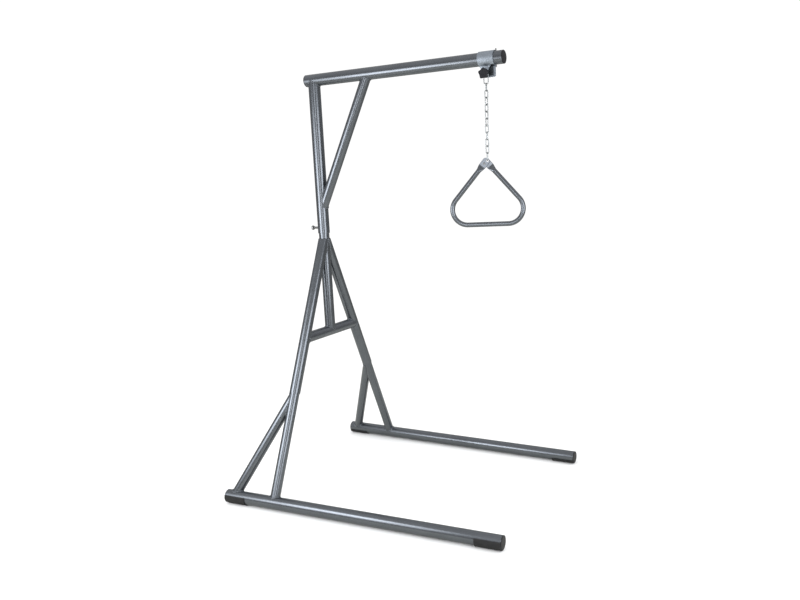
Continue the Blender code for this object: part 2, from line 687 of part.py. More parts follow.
def handle_path():
    """Middle line from the left pressed end to the right one.

    Each entry is (x, z, heading, distance from the nearest end, side), with the side -1 on the
    left half and 1 on the right.
    """
    apex_z = -HANDLE_APEX
    centre_x = HANDLE_HALF - HANDLE_CORNER
    centre_z = -HANDLE_BAR + HANDLE_CORNER
    slope, leg_length = handle_leg()
    tip = PRESSED_HALF
    quarter = [math.pi / 2 * i / ROUND_END_STEPS for i in range(1, ROUND_END_STEPS + 1)]
    round_end = [tip * (1 - math.cos(angle)) for angle in quarter]
    blend = [tip + PRESSED_FLAT + PRESSED_BLEND * i / BLEND_STEPS for i in range(BLEND_STEPS + 1)]
    half = []
    for distance in round_end + blend + [tip + leg_length]:
        run = distance - tip
        half.append((run * math.cos(slope), apex_z - run * math.sin(slope), -slope, distance))
    sweep = math.pi - slope
    for step in range(1, HANDLE_BEND_STEPS + 1):
        heading = -slope - sweep * step / HANDLE_BEND_STEPS
        x = centre_x - HANDLE_CORNER * math.sin(heading)
        z = centre_z + HANDLE_CORNER * math.cos(heading)
        half.append((x, z, heading, tip + leg_length + HANDLE_CORNER * sweep))
    left = [(-x, z, math.pi - heading, distance, -1) for x, z, heading, distance in half]
    right = [(x, z, heading + math.pi, distance, 1) for x, z, heading, distance in reversed(half)]
    return left + right


def handle_section(distance, side):
    """Cross-section of the handle, (across, y) points: round tube, pressed flat near its ends."""
    flat_end = PRESSED_HALF + PRESSED_FLAT
    share = min(max((distance - flat_end) / PRESSED_BLEND, 0.0), 1.0)
    pressed = 1 - share * share * (3 - 2 * share)
    half_width = PRESSED_HALF
    if distance < PRESSED_HALF:
        half_width = math.sqrt(PRESSED_HALF ** 2 - (PRESSED_HALF - distance) ** 2)
    middle_y = side * (PRESSED_THICK + GAP) / 2
    edge_step = math.sin(2 * math.pi / HANDLE_SIDES)
    points = []
    for i in range(HANDLE_SIDES):
        angle = 2 * math.pi * i / HANDLE_SIDES
        flat_y = middle_y + PRESSED_THICK / 2 * min(max(math.sin(angle) / edge_step, -1.0), 1.0)
        across = pressed * half_width * math.cos(angle) + (1 - pressed) * HANDLE_OD / 2 * math.cos(angle)
        y = pressed * flat_y + (1 - pressed) * HANDLE_OD / 2 * math.sin(angle)
        points.append((across, y))
    return points


def add_handle(last_link):
    """One bent tube whose pressed ends lap, with a hole for the chain and a rivet through both."""
    mesh = bpy.data.meshes.new("handle")
    shape = bmesh.new()
    rings = []
    for x, z, heading, distance, side in handle_path():
        across_x, across_z = -math.sin(heading), math.cos(heading)
        ring = [shape.verts.new((x - HOLE_SIDE + across * across_x, y, z + across * across_z))
                for across, y in handle_section(distance, side)]
        rings.append(ring)
    for ring, following in zip(rings[:-1], rings[1:]):
        for i in range(HANDLE_SIDES):
            j = (i + 1) % HANDLE_SIDES
            shape.faces.new((ring[i], ring[j], following[j], following[i]))
    shape.faces.new(rings[0])
    shape.faces.new(rings[-1])
    bmesh.ops.recalc_face_normals(shape, faces=shape.faces)
    shape.to_mesh(mesh)
    shape.free()
    shade_round(mesh)

    upright = about("Z", HANDLE_TURN - math.radians(90 * len(LINK_TURNS) + LINK_TURNS[-1]))
    plumb = about("Z", -HANDLE_TURN) @ about("Y", -HANG_LEAN) @ about("Z", HANDLE_TURN)
    handle = add_part("handle", mesh, "silver_vein_paint", last_link, (0, 0, -LINK_PITCH), upright @ plumb)

    # The hole's upper edge clears the curved end of the last link at the outer faces of the plates
    plate_out = PRESSED_THICK + GAP / 2
    link_inner_r = LINK_WIDTH / 2 - WIRE
    wire_rise = link_inner_r - math.sqrt(link_inner_r ** 2 - plate_out ** 2)
    hole_z = WIRE / 2 + wire_rise + GAP - HANDLE_HOLE_R
    reach = Vector((0, 2 * HANDLE_OD, 0))
    hole_place = Vector((0, 0, hole_z))
    hole = rod_cutter("chain_hole", hole_place - reach, hole_place + reach, HANDLE_HOLE_R, handle,
                      SMALL_STEPS)
    slope, _ = handle_leg()
    down_leg = Vector((-math.cos(slope), 0, -math.sin(slope)))
    rivet_place = Vector((-HOLE_SIDE, 0, -HANDLE_APEX)) + down_leg * RIVET_OUT
    rivet_hole = rod_cutter("rivet_hole", rivet_place - reach, rivet_place + reach, RIVET_R + GAP, handle,
                            SMALL_STEPS)
    cut(handle, hole, rivet_hole)

    face = plate_out + GAP
    above = [(0, face + RIVET_HEAD), (RIVET_HEAD_R / 2, face + RIVET_SHOULDER), (RIVET_HEAD_R, face),
             (RIVET_R, face)]
    profile = above + [(radius, -height) for radius, height in reversed(above)]
    turned_part("handle_rivet", profile, "steel_bolt", handle, rivet_place, FACING_RIGHT)


def build():
    root = add_empty("trapeze", (-MID_BASE_X, 0, FLOOR_TUBE_Z))
    add_base(root)
    swivel = add_empty("mast_swivel", parent=root)
    add_mast(swivel)
    slide = add_empty("clamp_slide", (CLAMP_X, 0, BOOM_HEIGHT), swivel)
    bolt_place = Vector((-BOLT_BACK, 0, -BOLT_DROP))
    add_strap(slide, bolt_place)
    add_carriage_bolt(slide, bolt_place)
    add_knob(slide, bolt_place)
    add_handle(add_chain(slide, bolt_place))


build()
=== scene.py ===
from math import asin, atan2, copysign, cos, hypot, pi, radians, sin, sqrt, tan

import bmesh
import bpy
from mathutils import Matrix, Vector


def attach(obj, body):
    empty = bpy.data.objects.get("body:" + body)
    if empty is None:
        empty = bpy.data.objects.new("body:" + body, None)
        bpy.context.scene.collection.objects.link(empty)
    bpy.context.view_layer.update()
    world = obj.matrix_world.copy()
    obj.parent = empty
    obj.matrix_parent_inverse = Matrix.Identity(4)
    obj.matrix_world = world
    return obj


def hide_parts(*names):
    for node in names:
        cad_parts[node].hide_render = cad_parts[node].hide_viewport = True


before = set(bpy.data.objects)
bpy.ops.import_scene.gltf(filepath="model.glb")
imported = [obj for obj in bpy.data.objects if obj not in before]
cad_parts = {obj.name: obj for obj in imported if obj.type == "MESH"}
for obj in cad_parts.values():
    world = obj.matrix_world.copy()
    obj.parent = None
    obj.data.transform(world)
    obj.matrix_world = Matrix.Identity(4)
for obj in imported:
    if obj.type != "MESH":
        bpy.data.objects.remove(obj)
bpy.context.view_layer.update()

scene = bpy.context.scene

# Sizes that several pieces share, in metres, as in the solids.
# Heights count from the floor tubes' centre line and lengths forward from the mast's axis.
size = {
    "gap": 0.0003, "mainR": 0.0254, "mainWall": 0.0025, "thinWall": 0.0020, "padWall": 0.003,
    "legR": 0.0225, "uprightR": 0.0201, "boomBraceR": 0.0205,
    "baseHalf": 0.457, "floorRear": 0.232, "floorFront": 0.981, "toeIn": 0.030,
    "braceFoot": 0.2007, "braceBelowSleeve": 0.0056, "socket": 0.150,
    "legsMeet": 1.040, "legsTop": 1.030, "sleeveEnd": 0.4056, "crossbar": 0.6195, "postTop": 1.213,
    "mastFoot": 1.053, "boomHeight": 1.7047, "boomRear": 0.0355, "boomFront": 0.871,
    "boomBraceFoot": 1.155, "boomBraceReach": 0.269,
    "clampX": 0.8055, "clampWidth": 0.064, "boltBack": 0.008, "boltDrop": 0.0550, "boltR": 0.004,
    "sheet": 0.003, "earSpace": 0.014, "washer": 0.0016, "wire": 0.004,
}
gap, mainR, legR, boltR = size["gap"], size["mainR"], size["legR"], size["boltR"]
thin, sheet, wire, boomZ = size["thinWall"], size["sheet"], size["wire"], size["boomHeight"]
origin = Vector(((size["floorRear"] - size["floorFront"]) / 2 * cos(size["toeIn"]), 0.0,
        mainR + gap + size["padWall"]))


def place(x, y, z):
    return origin + Vector((x, y, z))


boomMiddle = place(size["clampX"], 0, boomZ)
boltPlace = boomMiddle + Vector((-size["boltBack"], 0, -size["boltDrop"]))
facingRight = Matrix(((1, 0, 0, 0), (0, 0, -1, 0), (0, 1, 0, 0), (0, 0, 0, 1)))   # +Z to -Y, +Y up
print("sizes set")


# Node helpers

# Sets a node's inputs, each to a value or to another node's output
def feed(tree, node, inputs):
    for label, value in inputs.items():
        if isinstance(value, bpy.types.NodeSocket):
            tree.links.new(value, node.inputs[label])
        else:
            node.inputs[label].default_value = value


# Adds a node in rows of eight, and gives back its outputs
def addNode(tree, kind, inputs=None, **settings):
    row, column = divmod(len(tree.nodes), 8)
    node = tree.nodes.new(kind)
    node.location = 220 * column - 1500, -320 * row
    for key, value in settings.items():
        setattr(node, key, value)
    feed(tree, node, inputs or {})
    return node.outputs


def addMath(tree, operation, *values):
    return addNode(tree, "ShaderNodeMath", dict(enumerate(values)), operation=operation)[0]


def addMix(tree, share, first, second):
    first, second = ((*tone, 1) if isinstance(tone, tuple) else tone for tone in (first, second))
    return addNode(tree, "ShaderNodeMix", {0: share, 6: first, 7: second}, data_type="RGBA")[2]


def addRange(tree, value, source, target=(0.0, 1.0), **settings):
    return addNode(tree, "ShaderNodeMapRange", dict(enumerate((value, *source, *target))), **settings)[0]


def addScaled(tree, vector, factor):
    return addNode(tree, "ShaderNodeVectorMath", {0: vector, "Scale": factor}, operation="SCALE")[0]


# A new tree. A socket is given by its value, or by its kind where it has none
def newTree(name, kind, inputs, outputs):
    tree = bpy.data.node_groups.new(name, kind)
    for way, sockets in (("INPUT", inputs), ("OUTPUT", outputs)):
        for label, value in sockets.items():
            what = value if isinstance(value, str) else "Vector" if isinstance(value, tuple) else "Float"
            socket = tree.interface.new_socket(label, in_out=way, socket_type="NodeSocket" + what)
            if not isinstance(value, str):
                socket.default_value = value
    return tree, addNode(tree, "NodeGroupInput")


# Fine grain: a value that wanders between two bounds, with its height for a bump
def makeGrain():
    tree, start = newTree("fineGrain", "ShaderNodeTree",
        {"Vector": (0, 0, 0), "Fineness": 400.0, "Low": 0.3, "High": 0.5},
        {"Value": "Float", "Height": "Float"})
    noise = addNode(tree, "ShaderNodeTexNoise", {"Vector": start["Vector"], "Scale": start["Fineness"],
            "Detail": 5.0, "Roughness": 0.6})["Fac"]
    value = addRange(tree, noise, (0.3, 0.7), (start["Low"], start["High"]))
    addNode(tree, "NodeGroupOutput", {"Value": value, "Height": noise})
    return tree


# Handling marks: sparse fine scratches that run every way, as a mask
scuffs = {"stretches": ((900.0, 60.0, 900.0), (60.0, 900.0, 500.0), (700.0, 900.0, 45.0)),
    "cut": (0.66, 0.72)}


def makeScuffs():
    tree, start = newTree("handlingMarks", "ShaderNodeTree", {"Vector": (0, 0, 0), "Amount": 0.2},
        {"Mask": "Float"})
    lines = []
    for turn, stretch in enumerate(scuffs["stretches"]):
        run = addNode(tree, "ShaderNodeMapping", {"Vector": start["Vector"], "Scale": stretch,
                "Rotation": (0.3 * turn, 0.5, 0.7 * turn)})
        noise = addNode(tree, "ShaderNodeTexNoise", {"Vector": run["Vector"], "Scale": 1.0, "Detail": 2.0})
        lines.append(addRange(tree, noise["Fac"], scuffs["cut"]))
    mask = addMath(tree, "MAXIMUM", addMath(tree, "MAXIMUM", lines[0], lines[1]), lines[2])
    addNode(tree, "NodeGroupOutput", {"Mask": addMath(tree, "MULTIPLY", mask, start["Amount"])})
    return tree


grainGroup = makeGrain()
scuffGroup = makeScuffs()


def addGrain(tree, vector, fineness, low=0.0, high=1.0):
    inputs = {"Vector": vector, "Fineness": fineness, "Low": low, "High": high}
    return addNode(tree, "ShaderNodeGroup", inputs, node_tree=grainGroup)


def addScuffs(tree, vector, amount):
    inputs = {"Vector": vector, "Amount": amount}
    return addNode(tree, "ShaderNodeGroup", inputs, node_tree=scuffGroup)["Mask"]


def addBump(tree, height, strength, distance, **below):
    inputs = {"Height": height, "Strength": strength, "Distance": distance, **below}
    return addNode(tree, "ShaderNodeBump", inputs)["Normal"]


def newMaterial(name):
    material = bpy.data.materials.new(name)
    material.use_nodes = True
    tree = material.node_tree
    return material, tree, addNode(tree, "ShaderNodeTexCoord")["Object"]


def setShader(tree, inputs):
    feed(tree, tree.nodes["Principled BSDF"], inputs)


# Silver vein powder coat: bright metal flake gathers in fine veins over a dark ground
veinPaint = {"ground": (0.142, 0.155, 0.172), "vein": (0.195, 0.209, 0.231), "scratch": (0.62, 0.62, 0.63),
    "scuffs": 0.10, "veinsPerMetre": 900.0, "veinWidth": (0.02, 0.30), "drift": 0.0016,
    "driftFineness": 260.0, "flakeFineness": 1500.0, "flakeShare": 0.60, "evenShare": 0.14,
    "patches": (9.0, 0.90, 1.06), "metallic": 0.90, "rough": (140.0, 0.22, 0.26), "coat": 0.15,
    "coatRough": 0.16, "relief": 0.006, "orangePeel": 0.012, "bumpHeight": 0.0004}


def makeVeinPaint():
    s = veinPaint
    material, tree, vector = newMaterial("silverVeinPaint")
    sway = addNode(tree, "ShaderNodeTexNoise", {"Vector": vector, "Scale": s["driftFineness"], "Detail": 3.0})
    drifted = addNode(tree, "ShaderNodeVectorMath", {0: sway["Color"], 1: (s["drift"],) * 3, 2: vector},
        operation="MULTIPLY_ADD")[0]
    edge = addNode(tree, "ShaderNodeTexVoronoi", {"Vector": drifted, "Scale": s["veinsPerMetre"]},
        feature="DISTANCE_TO_EDGE")["Distance"]
    vein = addRange(tree, edge, s["veinWidth"], (1.0, 0.0), interpolation_type="SMOOTHSTEP")
    flake = addMath(tree, "MULTIPLY", vein, addGrain(tree, vector, s["flakeFineness"])["Value"])
    share = addMath(tree, "MULTIPLY_ADD", flake, s["flakeShare"], s["evenShare"])
    colour = addScaled(tree, addMix(tree, share, s["ground"], s["vein"]),
        addGrain(tree, vector, *s["patches"])["Value"])
    grain = addGrain(tree, vector, *s["rough"])
    relief = addBump(tree, edge, s["relief"], s["bumpHeight"])
    setShader(tree, {"Metallic": s["metallic"], "Coat Weight": s["coat"], "Coat Roughness": s["coatRough"],
        "Base Color": addMix(tree, addScuffs(tree, vector, s["scuffs"]), colour, s["scratch"]),
        "Roughness": grain["Value"],
        "Normal": addBump(tree, grain["Height"], s["orangePeel"], s["bumpHeight"], Normal=relief)})
    return material


# Painted shade: where the strap's two ears face each other the zinc is darkened, standing in for the shade
# that the tongue, knob and band cast inside.
# Its bounds count from the boom's axis at the clamp's middle.
paintedEarShade = {"X": (0.0175, 0.0245), "Z": (-0.0640, -0.0610), "inside": 0.0085, "darkening": 0.80,
    "tone": (0.030, 0.034, 0.034)}


# Mask of the painted shade between the ears: inside the gap, fading out towards the ears' front edges and
# bottoms
def addPaintedEarShade(tree, vector):
    parts = addNode(tree, "ShaderNodeSeparateXYZ", {"Vector": vector})
    mask = addMath(tree, "LESS_THAN", addMath(tree, "ABSOLUTE", parts["Y"]), paintedEarShade["inside"])
    for axis, middle, tones in (("X", origin.x + size["clampX"], (1.0, 0.0)),
            ("Z", origin.z + boomZ, (0.0, 1.0))):
        ramp = addRange(tree, parts[axis], [middle + bound for bound in paintedEarShade[axis]], tones,
            interpolation_type="SMOOTHSTEP")
        mask = addMath(tree, "MULTIPLY", mask, ramp)
    return addMath(tree, "MULTIPLY", mask, paintedEarShade["darkening"])


# Bright zinc, as sheet, as wire or on a bolt
zinc = {"spangle": (0.95, 1.03), "clouds": (45.0, 0.90, 1.04), "scratch": (0.30, 0.31, 0.31), "scuffs": 0.25,
    "roughFineness": 220.0, "drawnBump": 0.04, "grainBump": 0.03, "bumpHeight": 0.0003}


def makeZinc(name, tone, rough, spanglesPerMetre, drawn, withEarShade=False):
    s = zinc
    material, tree, vector = newMaterial(name)
    crystal = addNode(tree, "ShaderNodeTexVoronoi", {"Vector": vector, "Scale": spanglesPerMetre})
    grey = addNode(tree, "ShaderNodeSeparateColor", {"Color": crystal["Color"]})[0]
    shade = addMath(tree, "MULTIPLY", addRange(tree, grey, (0.0, 1.0), s["spangle"]),
        addGrain(tree, vector, *s["clouds"])["Value"])
    colour = addMix(tree, addScuffs(tree, vector, s["scuffs"]), addScaled(tree, tone, shade), s["scratch"])
    # Painted shade between the strap's ears darkens the zinc colour there
    if withEarShade:
        colour = addMix(tree, addPaintedEarShade(tree, vector), colour, paintedEarShade["tone"])
    grain = addGrain(tree, vector, s["roughFineness"], *rough)
    stretched = addNode(tree, "ShaderNodeMapping", {"Vector": vector, "Scale": drawn})["Vector"]
    lines = addBump(tree, addGrain(tree, stretched, 1.0)["Height"], s["drawnBump"], s["bumpHeight"])
    setShader(tree, {"Metallic": 1.0, "Base Color": colour, "Roughness": grain["Value"],
            "Normal": addBump(tree, grain["Height"], s["grainBump"], s["bumpHeight"], Normal=lines)})
    return material


# Moulded black plastic or rubber: fine spark texture, with dust where it is rough
black = {"specular": 0.35, "clouds": 60.0, "scuffs": 0.30, "scratch": 3, "roughFineness": 180.0,
    "bumpHeight": 0.0003}


def makeBlack(name, tone, dust, rough, fineness, bump):
    s = black
    material, tree, vector = newMaterial(name)
    spark = addGrain(tree, vector, fineness)
    share = addMath(tree, "MULTIPLY", addGrain(tree, vector, s["clouds"])["Value"], spark["Value"])
    scratch = tuple(s["scratch"] * part for part in dust)
    colour = addMix(tree, share, tone, dust)
    setShader(tree, {"Specular IOR Level": s["specular"],
        "Base Color": addMix(tree, addScuffs(tree, vector, s["scuffs"]), colour, scratch),
        "Roughness": addGrain(tree, vector, s["roughFineness"], *rough)["Value"],
        "Normal": addBump(tree, spark["Height"], bump, s["bumpHeight"])})
    return material


# Each finish goes by the name of its slot in the record
paint, zincSheet, zincChain = "silver_vein_paint", "zinc_sheet", "zinc_chain"
boltSteel, blackPlastic, blackRubber = "steel_bolt", "black_plastic", "black_rubber"
finish = {
    paint: makeVeinPaint(),
    zincSheet: makeZinc("zincSheet", (0.42, 0.465, 0.525), (0.50, 0.60), 160.0, (30.0, 900.0, 900.0), True),
    zincChain: makeZinc("zincChain", (0.50, 0.52, 0.53), (0.24, 0.34), 420.0, (500.0, 500.0, 500.0)),
    boltSteel: makeZinc("boltSteel", (0.34, 0.34, 0.34), (0.30, 0.46), 600.0, (900.0, 900.0, 900.0)),
    blackPlastic: makeBlack("blackPlastic", (0.006, 0.006, 0.009), (0.014, 0.014, 0.017), (0.36, 0.50),
        1400.0, 0.18),
    blackRubber: makeBlack("blackRubber", (0.010, 0.010, 0.011), (0.024, 0.023, 0.023), (0.55, 0.75),
        900.0, 0.30),
}
print("finishes made")


# Mesh helpers

def newObject(name, data):
    thing = bpy.data.objects.new(name, data)
    scene.collection.objects.link(thing)
    return thing


def meshFrom(name, shape):
    mesh = bpy.data.meshes.new(name)
    shape.to_mesh(mesh)
    shape.free()
    return mesh


def smooth(mesh, angle=35):
    mesh.shade_smooth()
    mesh.set_sharp_from_angle(angle=radians(angle))
    return mesh


def turns(steps, first=0.0):
    return [first + 2 * pi * i / steps for i in range(steps)]


def polar(radius, angle, height=0.0):
    return Vector((radius * cos(angle), radius * sin(angle), height))


def upBy(height):
    return Matrix.Translation((0, 0, height))


def axisMatrix(where, direction):
    return Matrix.Translation(where) @ Vector(direction).to_track_quat("Z", "Y").to_matrix().to_4x4()


# Joins each ring of points to the next one. The ends stay open, meet in poles or get flat caps
def ringMesh(name, rings, matrix=Matrix(), closed=False, poles=(), caps=False, wrap=True, angle=35):
    shape = bmesh.new()
    loops = [[shape.verts.new(matrix @ point) for point in ring] for ring in rings]
    count = len(loops[0])
    steps = [(i, (i + 1) % count) for i in range(count if wrap else count - 1)]
    for first, second in zip(loops, loops[1:] + loops[:1] if closed else loops[1:]):
        for i, j in steps:
            shape.faces.new((first[i], first[j], second[j], second[i]))
    for loop, pole in zip((loops[0], loops[-1]), poles):
        tip = shape.verts.new(matrix @ pole)
        for i, j in steps:
            shape.faces.new((loop[i], loop[j], tip))
    if caps:
        shape.faces.new(loops[0])
        shape.faces.new(loops[-1])
    bmesh.ops.recalc_face_normals(shape, faces=shape.faces)
    return smooth(meshFrom(name, shape), angle)


# A turned solid about +Z, its profile (radius, height) from one end on the axis to the other,
# or round a bore
def turnedMesh(name, profile, matrix, steps=64, angle=35):
    solid = profile[0][0] == 0
    poles = [Vector((0, 0, end[1])) for end in (profile[0], profile[-1])] if solid else ()
    rings = [[polar(radius, a, height) for a in turns(steps)] for radius, height in profile if radius > 0]
    return ringMesh(name, rings, matrix, not solid, poles, angle=angle)


def cylinderMesh(start, end, radius, steps=40):
    start, end = Vector(start), Vector(end)
    length = (end - start).length
    return turnedMesh("rod", [(0, 0), (radius, 0), (radius, length), (0, length)],
        axisMatrix(start, end - start), steps)


def arc(centre, radius, start, end, steps):
    angles = [start + (end - start) * i / steps for i in range(steps + 1)]
    return [(centre[0] + radius * cos(a), centre[1] + radius * sin(a)) for a in angles]


# The sphere of a domed head, with the half angle that the head takes up on it
def domeSphere(headR, rise):
    sphereR = (headR ** 2 + rise ** 2) / (2 * rise)
    return sphereR, asin(headR / sphereR)


def joined(name, *meshes):
    shape = bmesh.new()
    for mesh in meshes:
        shape.from_mesh(mesh)
    return smooth(meshFrom(name, shape))


def baked(holder):
    bpy.context.view_layer.update()
    return bpy.data.meshes.new_from_object(holder.evaluated_get(bpy.context.evaluated_depsgraph_get()))


# Runs a mesh through a wall, cutters and broken edges, and gives back a plain mesh
def worked(mesh, cutters, wall=0.0, bevel=0.0, bevelAngle=0):
    used = [newObject("blank", mesh)]

    def modify(kind, **settings):
        modifier = used[0].modifiers.new(kind.lower(), kind)
        for key, value in settings.items():
            setattr(modifier, key, value)

    if wall:
        modify("SOLIDIFY", thickness=wall, offset=0.0, use_even_offset=True)
    for cutter in cutters:
        used.append(newObject("cutter", cutter))
        modify("BOOLEAN", operation="DIFFERENCE", solver="EXACT", object=used[-1])
    if bevel:
        modify("BEVEL", width=bevel, segments=2, limit_method="ANGLE", angle_limit=radians(bevelAngle))
    result = baked(used[0])
    for thing in used:
        bpy.data.objects.remove(thing, do_unlink=True)
    return smooth(result)


# Puts a finished mesh on its body, in place of the solids that it stands for
def addPiece(name, mesh, body, slot, *nodes):
    mesh.name = name
    piece = newObject(name, mesh)
    mesh.materials.clear()
    mesh.materials.append(finish[slot])
    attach(piece, body)
    if nodes:
        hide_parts(*nodes)


# Geometry Nodes helpers

def geometryTree(name, inputs):
    return newTree(name, "GeometryNodeTree", {"Geometry": "Geometry", **inputs, "Material": "Material"},
        {"Geometry": "Geometry"})


# Every tree ends in the same way: a round section swept along its curve, smooth shading,
# real geometry and its material
def endTree(tree, start, curve, radius, sides, swell=1.0, caps=True):
    section = addNode(tree, "GeometryNodeCurvePrimitiveCircle", {"Radius": radius, "Resolution": sides})
    swept = addNode(tree, "GeometryNodeCurveToMesh", {"Curve": curve, "Profile Curve": section[0],
            "Scale": swell, "Fill Caps": caps})
    shaded = addNode(tree, "GeometryNodeSetShadeSmooth", {"Geometry": swept[0]})
    real = addNode(tree, "GeometryNodeRealizeInstances", {"Geometry": shaded[0]})
    coated = addNode(tree, "GeometryNodeSetMaterial", {"Geometry": real[0], "Material": start["Material"]})
    addNode(tree, "NodeGroupOutput", {"Geometry": coated[0]})
    return tree


# Runs a tree with named values, on a mesh where it needs one, and gives back a plain mesh
def throughTree(tree, values, slot, matrix=Matrix(), mesh=None):
    holder = newObject("blank", mesh or bpy.data.meshes.new(tree.name))
    modifier = holder.modifiers.new(tree.name, "NODES")
    modifier.node_group = tree
    values = {**values, "Material": finish[slot]}
    for item in tree.interface.items_tree:
        if item.in_out == "INPUT" and item.name in values:
            modifier[item.identifier] = values[item.name]
    result = baked(holder)
    holder.modifiers.remove(modifier)
    bpy.data.objects.remove(holder, do_unlink=True)
    result.transform(matrix)
    return result


# Tubes. A cut is ("tube", a point on its axis, its direction, radius) or ("level", height)
tubeShape = {"edge": 0.0005, "support": 0.003, "sides": 80, "seamSteps": 96}


def lineCut(point, direction, cut, leaving):
    if cut[0] == "level":
        return (cut[1] - point.z) / direction.z
    axis = cut[2].normalized()
    across = direction - axis * direction.dot(axis)
    offset = point - cut[1]
    offset -= axis * offset.dot(axis)
    square, half = across.dot(across), across.dot(offset)
    spread = sqrt(max(half * half - square * (offset.dot(offset) - cut[3] ** 2), 0.0))
    return (-half + (spread if leaving else -spread)) / square


class Tube:
    def __init__(self, start, end, radius, wall, startCuts=(), endCuts=()):
        self.start, self.radius, self.wall = start, radius, wall
        self.line = end - start
        self.length = self.line.length
        self.along = self.line.normalized()
        self.side = self.along.orthogonal().normalized()
        self.up = self.along.cross(self.side)
        self.cuts = startCuts, endCuts

    def point(self, angle, radius, distance=0.0):
        outwards = self.side * cos(angle) + self.up * sin(angle)
        return self.start + outwards * radius + self.along * distance

    # Where its cuts begin and end it, along a line on its wall
    def ends(self, angle, radius):
        point = self.point(angle, radius)
        first = max([lineCut(point, self.along, cut, True) for cut in self.cuts[0]] or [0.0])
        last = min([lineCut(point, self.along, cut, False) for cut in self.cuts[1]] or [self.length])
        return first, last

    # As a cutter for a tube that meets this one, with a gap for the weld
    def cope(self):
        return ("tube", self.start, self.along, self.radius + gap)

    def mesh(self, name, rings=()):
        edge, support = tubeShape["edge"], tubeShape["support"]
        outer, inner = self.radius, self.radius - self.wall
        profile = [(outer - edge, 0, 0), (outer, 0, edge), (outer, 0, support),
            *((outer, None, distance) for distance in rings),
            (outer, 1, -support), (outer, 1, -edge), (outer - edge, 1, 0),
            (inner + edge, 1, 0), (inner, 1, -edge), (inner, 0, edge), (inner + edge, 0, 0)]
        loops = [[self.point(a, radius, distance + (0.0 if end is None else self.ends(a, radius)[end]))
                for a in turns(tubeShape["sides"])] for radius, end, distance in profile]
        return ringMesh(name, loops, closed=True)

    # The corner that a weld fills at one end, as points round the tube
    def seam(self, end):
        loop = []
        for angle in turns(tubeShape["seamSteps"]):
            distance = lineCut(self.point(angle, self.radius), self.along, self.cuts[end][0], end == 0)
            cutShort = abs(distance - self.ends(angle, self.radius)[end]) > 1e-6
            loop.append(None if cutShort else self.point(angle, self.radius, distance))
        return loop


def tubePiece(name, tube, body, node):
    addPiece(name, tube.mesh(name), body, paint, node)


# A tube with a cross hole, and a ring of points on each side of the hole
def drilledPiece(name, tube, node, ends, holeR, ringAt, spread):
    mesh = tube.mesh(name, (ringAt - spread, ringAt + spread))
    addPiece(name, worked(mesh, [cylinderMesh(*ends, holeR + gap)]), "mast", paint, node)


tubes, baseSeams = {}, []
for side, sign in (("left", 1), ("right", -1)):
    foot = place(0, sign * size["baseHalf"], 0)
    apex = place(0, 0, size["legsMeet"])
    lean = (apex - foot).normalized()
    forward = Vector((cos(size["toeIn"]), -sign * sin(size["toeIn"]), 0))
    sleeve = foot + lean * (size["sleeveEnd"] / lean.z)
    floorTube = Tube(foot - forward * size["floorRear"], foot + forward * size["floorFront"],
        mainR, size["mainWall"])
    upright = Tube(foot, sleeve + lean * size["socket"], size["uprightR"], thin, [floorTube.cope()])
    brace = Tube(foot - forward * size["braceFoot"], sleeve - lean * size["braceBelowSleeve"],
        size["uprightR"], thin, [floorTube.cope()], [upright.cope()])
    post = ("tube", place(0, 0, 0), Vector((0, 0, 1)), legR + gap)
    leg = Tube(sleeve, apex, legR, thin, (), [post, ("level", origin.z + size["legsTop"])])
    for label, node, tube in (("floorTube", "floor_tube_", floorTube),
            ("uprightTube", "floor_upright_", upright),
            ("footBrace", "floor_brace_", brace), ("frameLeg", "leg_", leg)):
        tubePiece(label + side.title(), tube, "base", node + side)
    tubes["floor", side], tubes["leg", side] = floorTube, leg
    baseSeams += [upright.seam(0), brace.seam(0), brace.seam(1), leg.seam(1)]

crossHalf = size["baseHalf"] * (1 - size["crossbar"] / size["legsMeet"])
crossbar = Tube(place(0, -crossHalf, size["crossbar"]), place(0, crossHalf, size["crossbar"]),
    legR, thin, [tubes["leg", "right"].cope()], [tubes["leg", "left"].cope()])
postTube = Tube(place(0, 0, size["crossbar"]), place(0, 0, size["postTop"]), legR, thin, [crossbar.cope()])
boom = Tube(place(-size["boomRear"], 0, boomZ), place(size["boomFront"], 0, boomZ), mainR, size["mainWall"])
mast = Tube(place(0, 0, size["mastFoot"]), place(0, 0, boomZ), mainR, size["mainWall"], (), [boom.cope()])
kneeBrace = Tube(place(0, 0, size["boomBraceFoot"]), place(size["boomBraceReach"], 0, boomZ),
    size["boomBraceR"], thin, [mast.cope()], [boom.cope()])
tubePiece("crossTube", crossbar, "base", "crossbar")
tubePiece("postTube", postTube, "base", "post")
tubePiece("kneeBrace", kneeBrace, "mast", "boom_brace")
baseSeams += [crossbar.seam(0), crossbar.seam(1), postTube.seam(0)]
mastSeams = [mast.seam(1), kneeBrace.seam(0), kneeBrace.seam(1)]

# The set bolt's hole in the mast and the stop pin's holes in the boom
setBolt = {"height": 1.077, "r": 0.005, "shank": 0.030, "head": 0.008, "flats": 0.017, "pitch": 0.0015,
    "point": 0.0006, "dish": 0.0004, "plain": 0.001, "ringSpread": 0.008}
stopPin = {"r": 0.0025, "out": 0.009, "ahead": 0.0035, "edge": 0.0005, "ringSpread": 0.006}
boltTip = place(-legR - gap, 0, setBolt["height"])
drilledPiece("mastTube", mast, "mast", (boltTip, boltTip - Vector((2 * mainR, 0, 0))), setBolt["r"],
    setBolt["height"] - size["mastFoot"], setBolt["ringSpread"])
pinX = size["clampX"] + size["clampWidth"] / 2 + stopPin["ahead"]
pinReach = Vector((0, 0, mainR + stopPin["out"]))
pinMiddle = place(pinX, 0, boomZ)
drilledPiece("boomTube", boom, "boom", (pinMiddle - pinReach, pinMiddle + pinReach), stopPin["r"],
    pinX + size["boomRear"], stopPin["ringSpread"])
print("tubes made")

